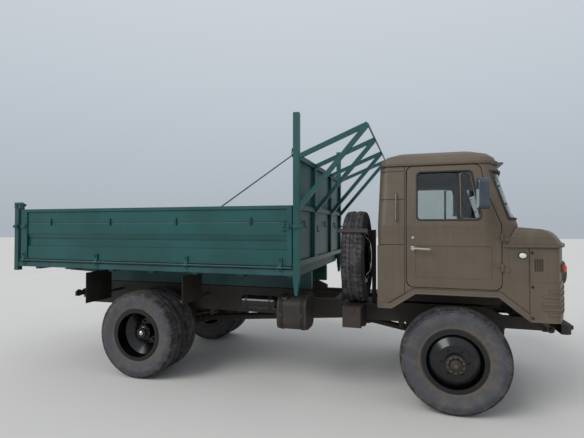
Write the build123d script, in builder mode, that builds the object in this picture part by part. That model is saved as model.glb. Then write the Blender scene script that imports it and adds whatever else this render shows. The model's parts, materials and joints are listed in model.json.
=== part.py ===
from build123d import *
import os
from math import asin, cos, sin

# A forward-control four-wheel-drive truck with a steel tipping body.
# +X is the truck's front, +Y its left side, and the floor it stands on is Z = 0.

# Driving dimensions
wheelbase = 3300
front_overhang = 1090  # front axle to the tow hooks
rear_overhang = 1700  # rear axle to the tailgate's skin
overall_length = wheelbase + front_overhang + rear_overhang
front_axle_x = overall_length / 2 - front_overhang
rear_axle_x = front_axle_x - wheelbase
tail_x = rear_axle_x - rear_overhang
seat_gap = 0.3  # between curved faces that meet
panel_gap = 6  # round doors, lids and boards
swing_gap = 8  # between bodies that pass each other

# Wheels
tyre_radius = 480
tyre_width = 235
bead_radius = 254
flange_radius = 282
rim_width = 190
rim_wall = 10
hub_z = tyre_radius
front_wheel_y = 912.5
twin_spacing = 285
twin_y = 825  # mating faces of the twin wheels
stub_radius = 35
drum_radius = 200
drum_wall = 10

# Steering
kingpin_y = 760
ball_radius = 95
housing_wall = 20
housing_gap = 1
arm_back = 270
tie_rod_radius = 14
tie_pin_radius = 9

# Frame
rail_web_y = 425  # outer face of each rail
rail_flange = 65
rail_wall = 8
rail_top_z = 880
rail_bottom_z = 680
rail_nose_z = 800  # top of the lowered front end
rail_front_x = front_axle_x + 940
rail_rear_x = front_axle_x - 4470
rail_step_x = front_axle_x + 330
rail_step_run = 170

# Cab
cab_half = 1040
cab_wall = 40
cab_rear_x = front_axle_x - 670
waist_z = 1697
gutter_z = 2250
gutter_half = cab_half - 78
roof_z = 2405
cab_bottom_z = 935
arch_z = 1078
sill_rear_x = front_axle_x - 330  # the wheel arch's upper corners, where the door sills end
sill_front_x = front_axle_x + 350
lid_z = 1508  # lower line of the bonnet lid
seam_x = front_axle_x + 588
cowl_x = front_axle_x + 384
nose_bottom_z = 880
nose_corner_x = front_axle_x + 830
nose_centre_x = front_axle_x + 1035
nose_wall = 30
tunnel_half = 340
tunnel_z = 1450
floor_wall = 20
corner_radius = 80  # of the cabin's rear corners
swage_zs = (2200, 1936, 1518)
swage = 3
nose_step_x = front_axle_x + 430
nose_step_z = 1214
nose_recess = 5
arch_band = 45
arch_band_wall = 8
visor_reach = 55
tilt_pivot = (front_axle_x + 900, 700)
door_rear_x = front_axle_x - 410
door_front_x = front_axle_x + 380
door_bottom_z = 1136
door_top_z = 2243
door_corner = 60
window_corner = 35
glass_wall = 5
glass_inset = 17
door_hinge_y = cab_half + 14
door_hinge_zs = (1300, 1560)
door_hinge_height = 32
door_leaf = 60
door_knuckle_radius = 11
door_pin_radius = 5

# Tipping body
bed_half = 1150
bed_front_x = front_axle_x - 1400
bed_floor_z = 1300
floor_plate = 8
edge_beam_z = 1208
sill_z = 980  # underside of the body's long sills
sill_top_z = 1180
post = 58
post_top_z = 2790
post_foot_z = 1158
leg_foot_z = 1020  # of the tapered legs under the front posts
headboard_z = 2385
shelf_z = 1870
board_top_z = 1890
board_wall = 40
board_rod_y = bed_half + 10
board_rod_z = 1286
rod_radius = 8
knuckle_radius = 13
hinge_width = 47
hinge_xs = [front_axle_x + x for x in (-4837, -3779, -2629, -1592)]
board_front_x = front_axle_x - 1470
board_rear_x = front_axle_x - 4880
rib_rear_x = front_axle_x - 4790  # the pressed ribs end short of the board's ends
rib_front_x = front_axle_x - 1520
tail_post_z = 1975
gate_pin_z = 1950
gate_pin_radius = 10
gate_half = bed_half - post - panel_gap
tip_pivot = (front_axle_x - 4420, 1050)
tip_pin_radius = 25

os.makedirs("parts", exist_ok=True)


def save(part, name):
    part.label = name
    export_step(part, "parts/" + name + ".step")


def mirrored(part):
    """The left-hand twin of a right-hand piece."""
    with BuildPart() as twin:
        mirror(part, about=Plane.XZ)
    return twin.part


def turned(outlines, axle_x, centre_y):
    """A right-hand wheel piece turned about its axle.

    Each outline lists (outward from centre_y, radius).
    """
    with BuildPart() as piece:
        with BuildSketch(Plane.YZ.offset(axle_x)):
            for outline in outlines:
                with BuildLine():
                    Polyline([(-centre_y - out, hub_z + r) for out, r in outline], close=True)
                make_face()
        revolve(axis=Axis((axle_x, 0, hub_z), (0, 1, 0)))
    return piece.part


def tyre_outline(middle):
    """A tyre's section about middle, in (outward, radius): beads, bulged walls and a crowned tread."""
    half = tyre_width / 2
    bead = rim_width / 2 - rim_wall
    wall = [(bead, bead_radius), (bead, flange_radius + 2), (half, 0.5 * (flange_radius + tyre_radius) + 10)]
    shoulder = [(half - 8, tyre_radius - 42), (half - 24, tyre_radius - 10), (half - 70, tyre_radius)]
    right = [(middle + out, r) for out, r in wall + shoulder]
    left = [(middle - out, r) for out, r in reversed(wall + shoulder)]
    return right + left


def bar(start, end, width):
    """A square bar from start to end."""
    run = Vector(*end) - Vector(*start)
    side = Vector(0, 1, 0) if abs(run.Y) < 0.5 * run.length else Vector(1, 0, 0)
    with BuildPart() as rod:
        with BuildSketch(Plane(origin=start, x_dir=side, z_dir=run)):
            Rectangle(width, width)
        extrude(amount=run.length)
    return rod.part


def rim_outline(middle):
    """A drop-sided rim about middle, in (outward, radius)."""
    half = rim_width / 2
    return [
        (middle - half, flange_radius),
        (middle - half + rim_wall, flange_radius),
        (middle - half + rim_wall, bead_radius),
        (middle + half - rim_wall, bead_radius),
        (middle + half - rim_wall, flange_radius),
        (middle + half, flange_radius),
        (middle + half, bead_radius - rim_wall),
        (middle - half, bead_radius - rim_wall),
    ]


# Front wheel: the disc bulges outwards past the rim and carries the hub and drum
bore = stub_radius + seat_gap
well = bead_radius - rim_wall
front_disc = [(60, well), (128, 160), (134, 140), (134, 80), (122, 80), (122, 136), (116, 152), (46, well)]
front_hub = [(-22, bore), (-22, 70), (60, 82), (165, 88), (172, 60), (200, 55), (200, 0), (150, 0), (150, bore)]
front_drum = [
    (-24, drum_radius),
    (60, drum_radius),
    (60, 75),
    (50, 75),
    (50, drum_radius - drum_wall),
    (-24, drum_radius - drum_wall),
]
front_rim = turned([rim_outline(0), front_disc, front_hub, front_drum], front_axle_x, front_wheel_y)
front_tyre = turned([tyre_outline(0)], front_axle_x, front_wheel_y)
save(front_rim, "rim_front_right")
save(mirrored(front_rim), "rim_front_left")
save(front_tyre, "tyre_front_right")
save(mirrored(front_tyre), "tyre_front_left")

# Twin rear wheels: two dished rims back to back on one hub
half_spacing = twin_spacing / 2
outer_disc = [(0, 80), (0, 150), (90, well), (104, well), (12, 146), (12, 80)]
inner_disc = [(-out, r) for out, r in outer_disc]
rear_hub = [(-70, bore), (-70, 85), (110, 85), (118, 60), (150, 55), (150, 0), (100, 0), (100, bore)]
rear_drum = [
    (-190, drum_radius),
    (-40, drum_radius),
    (-40, 80),
    (-50, 80),
    (-50, drum_radius - drum_wall),
    (-190, drum_radius - drum_wall),
]
rear_rims = turned(
    [rim_outline(half_spacing), rim_outline(-half_spacing), outer_disc, inner_disc, rear_hub, rear_drum],
    rear_axle_x,
    twin_y,
)
rear_tyres = turned([tyre_outline(half_spacing), tyre_outline(-half_spacing)], rear_axle_x, twin_y)
save(rear_rims, "rims_rear_right")
save(mirrored(rear_rims), "rims_rear_left")
save(rear_tyres, "tyres_rear_right")
save(mirrored(rear_tyres), "tyres_rear_left")

# Steering knuckle: a swivel housing with its backing plate, stub axle and straight arm
housing_radius = ball_radius + housing_gap + housing_wall
housing_half = 80
cap_radius = 50
plate_y = front_wheel_y - 36
stub_end_y = front_wheel_y + 145
arm_z = hub_z - 75
with BuildPart() as knuckle_right:
    with Locations((front_axle_x, -kingpin_y, hub_z)):
        Cylinder(housing_radius, 2 * housing_half)
        Cylinder(cap_radius, 2 * housing_half + 40)
        Cylinder(ball_radius + housing_gap, 2 * housing_half - 30, mode=Mode.SUBTRACT)
    with Locations((front_axle_x, -kingpin_y + housing_radius, hub_z)):
        Box(2 * housing_radius, 2 * (housing_radius - 35), 2 * housing_half + 50, mode=Mode.SUBTRACT)
    with BuildSketch(Plane.XZ.offset(kingpin_y + 100)):
        with Locations((front_axle_x, hub_z)):
            Circle(70)
    extrude(amount=plate_y - kingpin_y - 100)
    with BuildSketch(Plane.XZ.offset(plate_y)):
        with Locations((front_axle_x, hub_z)):
            Circle(drum_radius - drum_wall - 6)
    extrude(amount=6)
    with BuildSketch(Plane.XZ.offset(plate_y)):
        with Locations((front_axle_x, hub_z)):
            Circle(stub_radius)
    extrude(amount=stub_end_y - plate_y)
    with BuildSketch(Plane.XY.offset(arm_z - 16)):
        with BuildLine():
            Polyline(
                (front_axle_x - 60, -kingpin_y - 60),
                (front_axle_x - 60, -kingpin_y + 30),
                (front_axle_x - arm_back, -kingpin_y + 24),
                (front_axle_x - arm_back - 24, -kingpin_y),
                (front_axle_x - arm_back, -kingpin_y - 24),
                close=True,
            )
        make_face()
    extrude(amount=16)
    with BuildSketch(Plane.XY.offset(arm_z - 56)):
        with Locations((front_axle_x - arm_back, -kingpin_y)):
            Circle(tie_pin_radius)
    extrude(amount=50)
save(knuckle_right.part, "knuckle_right")
save(mirrored(knuckle_right.part), "knuckle_left")

# Tie rod between the two arms, hanging on their pins
tie_z = arm_z - 40
eye_y = kingpin_y
with BuildPart() as tie_rod:
    with BuildSketch(Plane.XZ):
        with Locations((front_axle_x - arm_back, tie_z)):
            Circle(tie_rod_radius)
    extrude(amount=eye_y - 12, both=True)
    with BuildSketch(Plane.XY.offset(tie_z - 12)):
        with Locations((front_axle_x - arm_back, -eye_y), (front_axle_x - arm_back, eye_y)):
            Circle(24)
    extrude(amount=24)
    with BuildSketch(Plane.XY.offset(tie_z - 12)):
        with Locations((front_axle_x - arm_back, -eye_y), (front_axle_x - arm_back, eye_y)):
            Circle(tie_pin_radius + seat_gap)
    extrude(amount=24, mode=Mode.SUBTRACT)
save(tie_rod.part, "tie_rod")

# Axles: a banjo casing on a tube, with spring pads
spring_y = rail_web_y - rail_flange / 2
spring_half_width = 32
leaf = 10
pad_top_z = hub_z + 70


def axle_casing(axle_x, tube_radius, tube_end_y, casing_radius, nose):
    """Casing with its pinion nose pointing along nose (+1 forwards, -1 rearwards)."""
    with BuildPart() as casing:
        with BuildSketch(Plane.XZ):
            with Locations((axle_x, hub_z)):
                Circle(tube_radius)
        extrude(amount=tube_end_y, both=True)
        with BuildSketch(Plane.YZ.offset(axle_x)):
            with BuildLine():
                r = casing_radius
                Polyline(
                    (-200, hub_z), (-200, hub_z + 60), (-90, hub_z + r),
                    (90, hub_z + r), (200, hub_z + 60), (200, hub_z),
                    close=True,
                )
            make_face()
        revolve(axis=Axis((axle_x, 0, hub_z), (0, 1, 0)))
        with BuildSketch(Plane.YZ.offset(axle_x)):
            with Locations((0, hub_z)):
                Circle(75)
        extrude(amount=nose * 250)
        for side in (-1, 1):
            with Locations((axle_x, side * spring_y, hub_z + 35)):
                Box(130, 2 * spring_half_width, 70)
    return casing.part


front_casing = axle_casing(front_axle_x, 55, kingpin_y, 150, -1)
with BuildPart() as front_axle:
    add(front_casing)
    with Locations((front_axle_x, -kingpin_y, hub_z), (front_axle_x, kingpin_y, hub_z)):
        Cylinder(ball_radius, 2 * housing_half - 32)
save(front_axle.part, "front_axle")

rear_casing = axle_casing(rear_axle_x, 65, twin_y - 215, 180, 1)
with BuildPart() as rear_axle:
    add(rear_casing)
    for side in (-1, 1):
        with BuildSketch(Plane.XZ.offset(side * (twin_y - 205))):
            with Locations((rear_axle_x, hub_z)):
                Circle(drum_radius - drum_wall - 8)
        extrude(amount=-side * 8)
        with BuildSketch(Plane.XZ.offset(side * (twin_y - 215))):
            with Locations((rear_axle_x, hub_z)):
                Circle(stub_radius)
        extrude(amount=side * 305)
save(rear_axle.part, "rear_axle")


def leaf_spring(axle_x, half_length, leaves):
    """A pair of leaf packs with their eyes, seated on the axle's pads."""
    rise = 55
    arc_radius = (half_length**2 + rise**2) / (2 * rise)
    centre_z = pad_top_z + leaves * leaf + arc_radius
    with BuildPart() as pack:
        for side in (-1, 1):
            for i in range(leaves):
                reach = half_length * (1 - 0.8 * i / leaves)
                outer = arc_radius + (i + 1) * leaf
                inner = arc_radius + i * leaf
                turn = asin(reach / outer)
                with BuildSketch(Plane.XZ.offset(side * spring_y)):
                    with BuildLine():
                        ends = []
                        for r in (outer, inner):
                            left = (axle_x - r * sin(turn), centre_z - r * cos(turn))
                            right = (axle_x + r * sin(turn), centre_z - r * cos(turn))
                            ThreePointArc(left, (axle_x, centre_z - r), right)
                            ends.append((left, right))
                        Line(ends[0][0], ends[1][0])
                        Line(ends[0][1], ends[1][1])
                    make_face()
                extrude(amount=spring_half_width, both=True)
            eye_z = rail_bottom_z - 15 - 25
            with BuildSketch(Plane.XZ.offset(side * spring_y)):
                with Locations((axle_x - half_length, eye_z), (axle_x + half_length, eye_z)):
                    Circle(25)
            extrude(amount=spring_half_width, both=True)
    return pack.part


front_spring_half = 480
rear_spring_half = 600
front_springs = leaf_spring(front_axle_x, front_spring_half, 5)
rear_springs = leaf_spring(rear_axle_x, rear_spring_half, 5)
save(Part() + [front_springs, rear_springs], "leaf_springs")

# Frame: two channel rails, with cross-members, spring hangers and the cab's hinge ears
hanger_xs = [
    front_axle_x - front_spring_half,
    front_axle_x + front_spring_half,
    rear_axle_x - rear_spring_half,
    rear_axle_x + rear_spring_half,
]
cross_xs = [
    rail_front_x - 40,
    front_axle_x - 1180,
    front_axle_x - 2300,
    rear_axle_x - 380,
    rail_rear_x + 40,
]
rail_inner_y = rail_web_y - rail_flange
hinge_pin_radius = 18
hitch_z = 760
hitch_height = 90
hitch_reach = 90
hitch_bore_radius = 20
with BuildPart() as frame_rails:
    with BuildSketch(Plane.XZ.offset(rail_inner_y)):
        with BuildLine():
            Polyline(
                (rail_rear_x, rail_bottom_z),
                (rail_front_x, rail_bottom_z),
                (rail_front_x, rail_nose_z),
                (rail_step_x + rail_step_run, rail_nose_z),
                (rail_step_x, rail_top_z),
                (rail_rear_x, rail_top_z),
                close=True,
            )
        make_face()
    extrude(amount=rail_flange)
    with BuildSketch(Plane.XZ.offset(rail_inner_y)):
        with BuildLine():
            Polyline(
                (rail_rear_x, rail_bottom_z + rail_wall),
                (rail_front_x, rail_bottom_z + rail_wall),
                (rail_front_x, rail_nose_z - rail_wall),
                (rail_step_x + rail_step_run, rail_nose_z - rail_wall),
                (rail_step_x, rail_top_z - rail_wall),
                (rail_rear_x, rail_top_z - rail_wall),
                close=True,
            )
        make_face()
    extrude(amount=rail_flange - rail_wall, mode=Mode.SUBTRACT)
    for x in hanger_xs:
        with Locations((x, -spring_y, rail_bottom_z - 7.5)):
            Box(60, rail_flange, 15)
    with BuildSketch(Plane.XZ.offset(rail_inner_y)):
        with BuildLine():
            px, pz = tilt_pivot
            Polyline(
                (px - 60, rail_nose_z), (px + 40, rail_nose_z), (px + 40, pz - 30), (px - 60, pz - 30),
                close=True,
            )
        make_face()
    extrude(amount=rail_flange)
    with BuildSketch(Plane.XZ.offset(rail_inner_y)):
        with Locations(tilt_pivot):
            Circle(hinge_pin_radius)
    extrude(amount=rail_flange + 60)
    mirror(about=Plane.XZ)
save(frame_rails.part, "frame_rails")

with BuildPart() as cross_members:
    for x in cross_xs:
        top = rail_top_z if x < rail_step_x else rail_nose_z
        reach = rail_web_y - rail_wall if x < rail_step_x else rail_inner_y
        with Locations((x, 0, (top + rail_bottom_z) / 2)):
            Box(70, 2 * reach, top - rail_bottom_z - 2 * rail_wall)
        with Locations((x + rail_wall, 0, (top + rail_bottom_z) / 2)):
            Box(70, 2 * rail_inner_y - 60, top - rail_bottom_z - 4 * rail_wall, mode=Mode.SUBTRACT)
    with Locations((rail_rear_x - hitch_reach / 2, 0, hitch_z)):
        Box(hitch_reach + 60, 110, hitch_height)
    with BuildSketch(Plane.XY.offset(hitch_z - hitch_height)):
        with Locations((rail_rear_x - hitch_reach + 25, 0)):
            Circle(hitch_bore_radius)
    extrude(amount=2 * hitch_height, mode=Mode.SUBTRACT)
save(cross_members.part, "cross_members")

# Bumper: a curved-end channel across the rail ends, with tow hooks
bumper_half = 620
bumper_top_z = 790
bumper_bottom_z = 700
bumper_front_x = front_axle_x + 1030
hook_y = 430
with BuildPart() as bumper:
    with BuildSketch(Plane.YZ.offset(rail_front_x)):
        with Locations((0, (bumper_top_z + bumper_bottom_z) / 2)):
            Rectangle(2 * bumper_half, bumper_top_z - bumper_bottom_z)
    extrude(amount=bumper_front_x - rail_front_x)
    fillet(bumper.edges().filter_by(Axis.Z).group_by(Axis.X)[-1], 50)
    with BuildSketch(Plane.YZ.offset(rail_front_x)):
        with Locations((0, (bumper_top_z + bumper_bottom_z) / 2)):
            Rectangle(2 * bumper_half - 40, bumper_top_z - bumper_bottom_z - 16)
    extrude(amount=bumper_front_x - rail_front_x - 8, mode=Mode.SUBTRACT)
    for side in (-1, 1):
        with BuildSketch(Plane.XZ.offset(side * hook_y)):
            with BuildLine():
                hook_x = overall_length / 2
                Polyline(
                    (rail_front_x, bumper_bottom_z + 10),
                    (hook_x - 10, bumper_bottom_z + 10),
                    (hook_x, bumper_bottom_z + 20),
                    (hook_x, bumper_bottom_z + 48),
                    (hook_x - 18, bumper_bottom_z + 55),
                    (hook_x - 18, bumper_bottom_z + 30),
                    (bumper_front_x, bumper_bottom_z + 30),
                    (rail_front_x, bumper_bottom_z + 45),
                    close=True,
                )
            make_face()
        extrude(amount=15, both=True)
save(bumper.part, "bumper")

# Engine, gearbox and radiator between the rails
engine_half = 295
engine_rear_x = front_axle_x - 520
engine_front_x = front_axle_x + 330
engine_bottom_z = 705
engine_top_z = 1400
bell_rear_x = engine_rear_x - 160
gearbox_rear_x = front_axle_x - 1040
gear_z = 800
transfer_front_x = front_axle_x - 890
transfer_z = 600
rear_output_z = 640
with BuildPart() as engine:
    with Locations(((engine_rear_x + engine_front_x) / 2, 0, (engine_bottom_z + engine_top_z) / 2)):
        Box(engine_front_x - engine_rear_x, 2 * engine_half, engine_top_z - engine_bottom_z)
    for side in (-1, 1):
        with Locations((front_axle_x - 100, side * (engine_half + rail_web_y - rail_wall) / 2, 850)):
            Box(120, rail_web_y - rail_wall - engine_half, 40)
    with BuildSketch(Plane.XZ):
        with BuildLine():
            Polyline(
                (engine_rear_x + 5, gear_z),
                (engine_rear_x + 5, gear_z + 190),
                (engine_rear_x, gear_z + 190),
                (bell_rear_x, gear_z + 110),
                (bell_rear_x - 10, gear_z + 110),
                (bell_rear_x - 10, gear_z),
                close=True,
            )
        make_face()
    revolve(axis=Axis((engine_rear_x, 0, gear_z), (1, 0, 0)))
    with Locations(((bell_rear_x + gearbox_rear_x) / 2, 0, gear_z - 10)):
        Box(bell_rear_x - gearbox_rear_x, 300, 260)
    with Locations(((transfer_front_x + gearbox_rear_x) / 2, 0, transfer_z + 60)):
        Box(transfer_front_x - gearbox_rear_x, 340, 240)
save(engine.part, "engine")

radiator_x = front_axle_x + 640
with BuildPart() as radiator:
    with Locations((radiator_x, 0, (rail_nose_z + 1400) / 2)):
        Box(80, 640, 1400 - rail_nose_z)
    with Locations((radiator_x, 0, rail_nose_z - 20)):
        Box(80, 2 * rail_inner_y, 40)
save(radiator.part, "radiator")


def shaft_tube(start, end, radius):
    """A propeller shaft between two points of the XZ plane at Y = 0."""
    run = Vector(end[0] - start[0], 0, end[1] - start[1])
    with BuildPart() as tube:
        with BuildSketch(Plane(origin=(start[0], 0, start[1]), z_dir=run).offset(yoke / 2)):
            Circle(radius)
        extrude(amount=run.length - yoke)
        for x, z, inward in ((*start, -1), (*end, 1)):
            with BuildSketch(Plane.YZ.offset(x)):
                with Locations((0, z)):
                    Circle(radius + 15)
            extrude(amount=inward * yoke)
    return tube.part


yoke = 60
front_shaft = shaft_tube((front_axle_x - 250, hub_z), (transfer_front_x, transfer_z), 35)
rear_shaft = shaft_tube((gearbox_rear_x, rear_output_z), (rear_axle_x + 250, hub_z), 42)
save(Part() + [front_shaft, rear_shaft], "prop_shafts")

# Subframe on the rails, with the tipping pivot's ears and pin and the hoist's cradle
subframe_front_x = front_axle_x - 1450
subframe_top_z = sill_z - swing_gap
ear_y = rail_web_y + 20
ear_wall = 22
hoist_base = (front_axle_x - 2650, 730)
hoist_eye = (front_axle_x - 3500, 1110)
hoist_pin_radius = 22
with BuildPart() as subframe:
    with BuildSketch(Plane.XZ.offset(rail_inner_y)):
        with BuildLine():
            Polyline(
                (tip_pivot[0] + 70, rail_top_z),
                (subframe_front_x, rail_top_z),
                (subframe_front_x, rail_top_z + 40),
                (subframe_front_x - 120, subframe_top_z),
                (tip_pivot[0] + 160, subframe_top_z),
                (tip_pivot[0] + 70, rail_top_z + 30),
                close=True,
            )
        make_face()
    extrude(amount=rail_flange)
    with BuildSketch(Plane.XZ.offset(rail_web_y)):
        with BuildLine():
            ex, ez = tip_pivot
            Polyline(
                (ex - 45, rail_bottom_z + 60), (ex + 120, rail_bottom_z + 60), (ex + 120, rail_top_z),
                (ex + 45, ez), (ex - 45, ez),
                close=True,
            )
        make_face()
        with Locations(tip_pivot):
            Circle(45)
    extrude(amount=ear_y - rail_web_y + ear_wall)
    with BuildSketch(Plane.XZ.offset(rail_inner_y - 10)):
        with Locations(tip_pivot):
            Circle(tip_pin_radius)
    extrude(amount=ear_y - rail_inner_y + 20)
    with Locations((hoist_base[0], -130, hoist_base[1])):
        Box(120, 24, 140)
    with Locations((hoist_base[0], -(142 + rail_web_y - rail_wall) / 2, hoist_base[1] + 5)):
        Box(90, rail_web_y - rail_wall - 142, 80)
    with Locations((hoist_base[0], -rail_inner_y + 15, rail_top_z - 20)):
        Box(90, 30, 90)
    mirror(about=Plane.XZ)
    with BuildSketch(Plane.XZ):
        with Locations(hoist_base):
            Circle(hoist_pin_radius)
    extrude(amount=118, both=True)
save(subframe.part, "subframe")

# Hoist: a barrel on the cradle's pin, and the ram whose eye lifts the body
hoist_run = Vector(hoist_eye[0] - hoist_base[0], 0, hoist_eye[1] - hoist_base[1])
hoist_length = hoist_run.length
barrel_radius = 80
ram_radius = 50
barrel_end = hoist_length - 75
hoist_plane = Plane(origin=(hoist_base[0], 0, hoist_base[1]), z_dir=hoist_run)
eye_half = 45
eye_radius = 40
with BuildPart() as hoist_barrel:
    with BuildSketch(hoist_plane.offset(30)):
        Circle(barrel_radius)
    extrude(amount=barrel_end - 30)
    with BuildSketch(Plane.XZ):
        with Locations(hoist_base):
            Circle(eye_radius + 8)
    extrude(amount=eye_half, both=True)
    with BuildSketch(Plane.XZ):
        with Locations(hoist_base):
            Circle(hoist_pin_radius + seat_gap)
    extrude(amount=eye_half + 50, both=True, mode=Mode.SUBTRACT)
    with BuildSketch(hoist_plane.offset(70)):
        Circle(ram_radius + seat_gap)
    extrude(amount=hoist_length, mode=Mode.SUBTRACT)
save(hoist_barrel.part, "hoist_barrel")
with BuildPart() as hoist_ram:
    with BuildSketch(hoist_plane.offset(75)):
        Circle(ram_radius)
    extrude(amount=hoist_length - 75 - 20)
    with BuildSketch(Plane.XZ):
        with Locations(hoist_eye):
            Circle(eye_radius)
    extrude(amount=eye_half - 5, both=True)
    with BuildSketch(Plane.XZ):
        with Locations(hoist_eye):
            Circle(hoist_pin_radius)
    extrude(amount=eye_half, both=True)
save(hoist_ram.part, "hoist_ram")

# Tanks on the right rail and the battery box behind the cab
tank_rear_x = front_axle_x - 1700
tank_length = 310
tank_width = 340
tank_height = 330
tank_y = rail_web_y + 335
tank_z = 790
with BuildPart() as fuel_tank:
    with BuildSketch(Plane.YZ.offset(tank_rear_x)):
        with Locations((-tank_y, tank_z)):
            RectangleRounded(tank_width, tank_height, 90)
    extrude(amount=tank_length)
    with Locations((tank_rear_x + tank_length / 2, -(rail_web_y + tank_y - tank_width / 2 + 10) / 2, tank_z + 10)):
        Box(120, tank_y - tank_width / 2 + 10 - rail_web_y, 60)
save(fuel_tank.part, "fuel_tank")

air_tank_rear_x = front_axle_x - 2110
air_tank_length = 400
air_tank_radius = 67
air_tank_y = 870
air_tank_z = 889
with BuildPart() as air_tank:
    with BuildSketch(Plane.YZ.offset(air_tank_rear_x)):
        with Locations((-air_tank_y, air_tank_z)):
            Circle(air_tank_radius)
    extrude(amount=air_tank_length)
    fillet(air_tank.edges(), 30)
    for x in (air_tank_rear_x + 70, air_tank_rear_x + air_tank_length - 70):
        with Locations((x, -(rail_web_y + air_tank_y - 20) / 2, rail_top_z - 10)):
            Box(40, air_tank_y - 20 - rail_web_y, 8)
save(air_tank.part, "air_tank")

box_x = front_axle_x - 945
box_length = 190
box_width = 400
box_height = 200
with BuildPart() as battery_box:
    with Locations((box_x, -(rail_web_y + box_width / 2), rail_top_z - 5 - box_height / 2)):
        Box(box_length, box_width, box_height)
    fillet(battery_box.edges().filter_by(Axis.Z), 15)
save(battery_box.part, "battery_box")

# Spare wheel upright behind the cab, in its carrier
spare_x = front_axle_x - 926
spare_y = -500
spare_z = 1370
with BuildPart() as spare_wheel:
    with BuildSketch(Plane.XZ.offset(-spare_y)):
        with BuildLine():
            Polyline(
                (spare_x - 85, spare_z + 254), (spare_x + 85, spare_z + 254), (spare_x + 85, spare_z + 284),
                (spare_x + 117, spare_z + 340), (spare_x + 117, spare_z + 410), (spare_x + 98, spare_z + 468),
                (spare_x, spare_z + 480), (spare_x - 98, spare_z + 468), (spare_x - 117, spare_z + 410),
                (spare_x - 117, spare_z + 340), (spare_x - 85, spare_z + 284),
                close=True,
            )
        make_face()
        with BuildLine():
            Polyline([(spare_x + out, spare_z + r) for out, r in rim_outline(0)], close=True)
        make_face()
        with BuildLine():
            Polyline([(spare_x + out, spare_z + r) for out, r in front_disc], close=True)
        make_face()
    revolve(axis=Axis((spare_x, spare_y, spare_z), (1, 0, 0)))
save(spare_wheel.part, "spare_wheel")

carrier_post_y = spare_y + 80
carrier_top_z = 1650
clamp_dir = Vector(0, -0.827, 0.562)  # from the wheel's centre to the strap on its tread
clamp_centre = Vector(spare_x, spare_y, spare_z) + clamp_dir * (tyre_radius + 4)
with BuildPart() as spare_carrier:
    for side in (-1, 1):
        with Locations((spare_x + side * 165, carrier_post_y, (rail_top_z + carrier_top_z) / 2)):
            Box(40, 60, carrier_top_z - rail_top_z)
        arm_x = spare_x + side * 140
        add(bar((arm_x, carrier_post_y, carrier_top_z - 26), (arm_x, clamp_centre.Y - 6, clamp_centre.Z), 26))
    with BuildSketch(Plane(origin=clamp_centre, x_dir=(1, 0, 0), z_dir=clamp_dir)):
        Rectangle(306, 44)
    extrude(amount=6)
    with Locations((spare_x, carrier_post_y, rail_top_z + 5)):
        Box(370, 400, 10)
save(spare_carrier.part, "spare_carrier")

# Exhaust: a silencer on the left rail's brackets, with its pipes
silencer_y = 540
exhaust_z = 640
silencer_radius = 75
pipe_radius = 25
silencer_front_x = front_axle_x - 1000
silencer_rear_x = front_axle_x - 1500
pipe_cross_x = front_axle_x - 600
pipe_end = (front_axle_x - 470, 250)
with BuildPart() as exhaust:
    with BuildSketch(Plane.YZ.offset(silencer_rear_x)):
        with Locations((silencer_y, exhaust_z)):
            Circle(silencer_radius)
    extrude(amount=silencer_front_x - silencer_rear_x)
    for x in (silencer_rear_x + 90, silencer_front_x - 90):
        with Locations((x, (rail_web_y + silencer_y) / 2, exhaust_z + silencer_radius - 15)):
            Box(30, silencer_y - rail_web_y, 10)
    with BuildLine() as down_pipe:
        Polyline(
            (silencer_front_x - 10, silencer_y, exhaust_z),
            (pipe_cross_x, silencer_y, exhaust_z),
            (pipe_cross_x, pipe_end[1], exhaust_z),
            (pipe_end[0], pipe_end[1], exhaust_z),
            (pipe_end[0], pipe_end[1], engine_bottom_z),
        )
    with BuildSketch(Plane.YZ.offset(silencer_front_x - 10)):
        with Locations((silencer_y, exhaust_z)):
            Circle(pipe_radius)
    sweep(path=down_pipe.line, transition=Transition.RIGHT)
    with BuildLine() as tail_pipe:
        Polyline(
            (silencer_rear_x + 10, silencer_y, exhaust_z),
            (silencer_rear_x - 400, silencer_y, exhaust_z),
            (silencer_rear_x - 560, silencer_y + 260, exhaust_z),
        )
    with BuildSketch(Plane.YZ.offset(silencer_rear_x + 10)):
        with Locations((silencer_y, exhaust_z)):
            Circle(pipe_radius)
    sweep(path=tail_pipe.line, transition=Transition.RIGHT)
save(exhaust.part, "exhaust")

# Mudguard sheets before and behind the rear wheels, on brackets from the rails
flap_y = (bed_half - 500, bed_half - 85)
with BuildPart() as mudguards:
    for x, bottom, top in ((rear_axle_x - 690, 795, 1150), (rear_axle_x + 580, 850, 1150)):
        with Locations((x, -(flap_y[0] + flap_y[1]) / 2, (bottom + top) / 2)):
            Box(6, flap_y[1] - flap_y[0], top - bottom)
        with Locations((x - 15, -(rail_web_y + flap_y[1]) / 2, top - 320 + 50)):
            Box(24, flap_y[1] - rail_web_y, 24)
    mirror(about=Plane.XZ)
save(mudguards.part, "mudguards")

with BuildPart() as tail_lamps:
    with Locations((rail_rear_x - 12, -560, 830)):
        Box(24, 300, 60)
    with Locations((rail_rear_x - 34, -640, 830)):
        Cylinder(42, 20, rotation=(0, 90, 0))
    with Locations((rail_rear_x - 34, -540, 830)):
        Cylinder(42, 20, rotation=(0, 90, 0))
    mirror(about=Plane.XZ)
save(tail_lamps.part, "tail_lamps")


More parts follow.
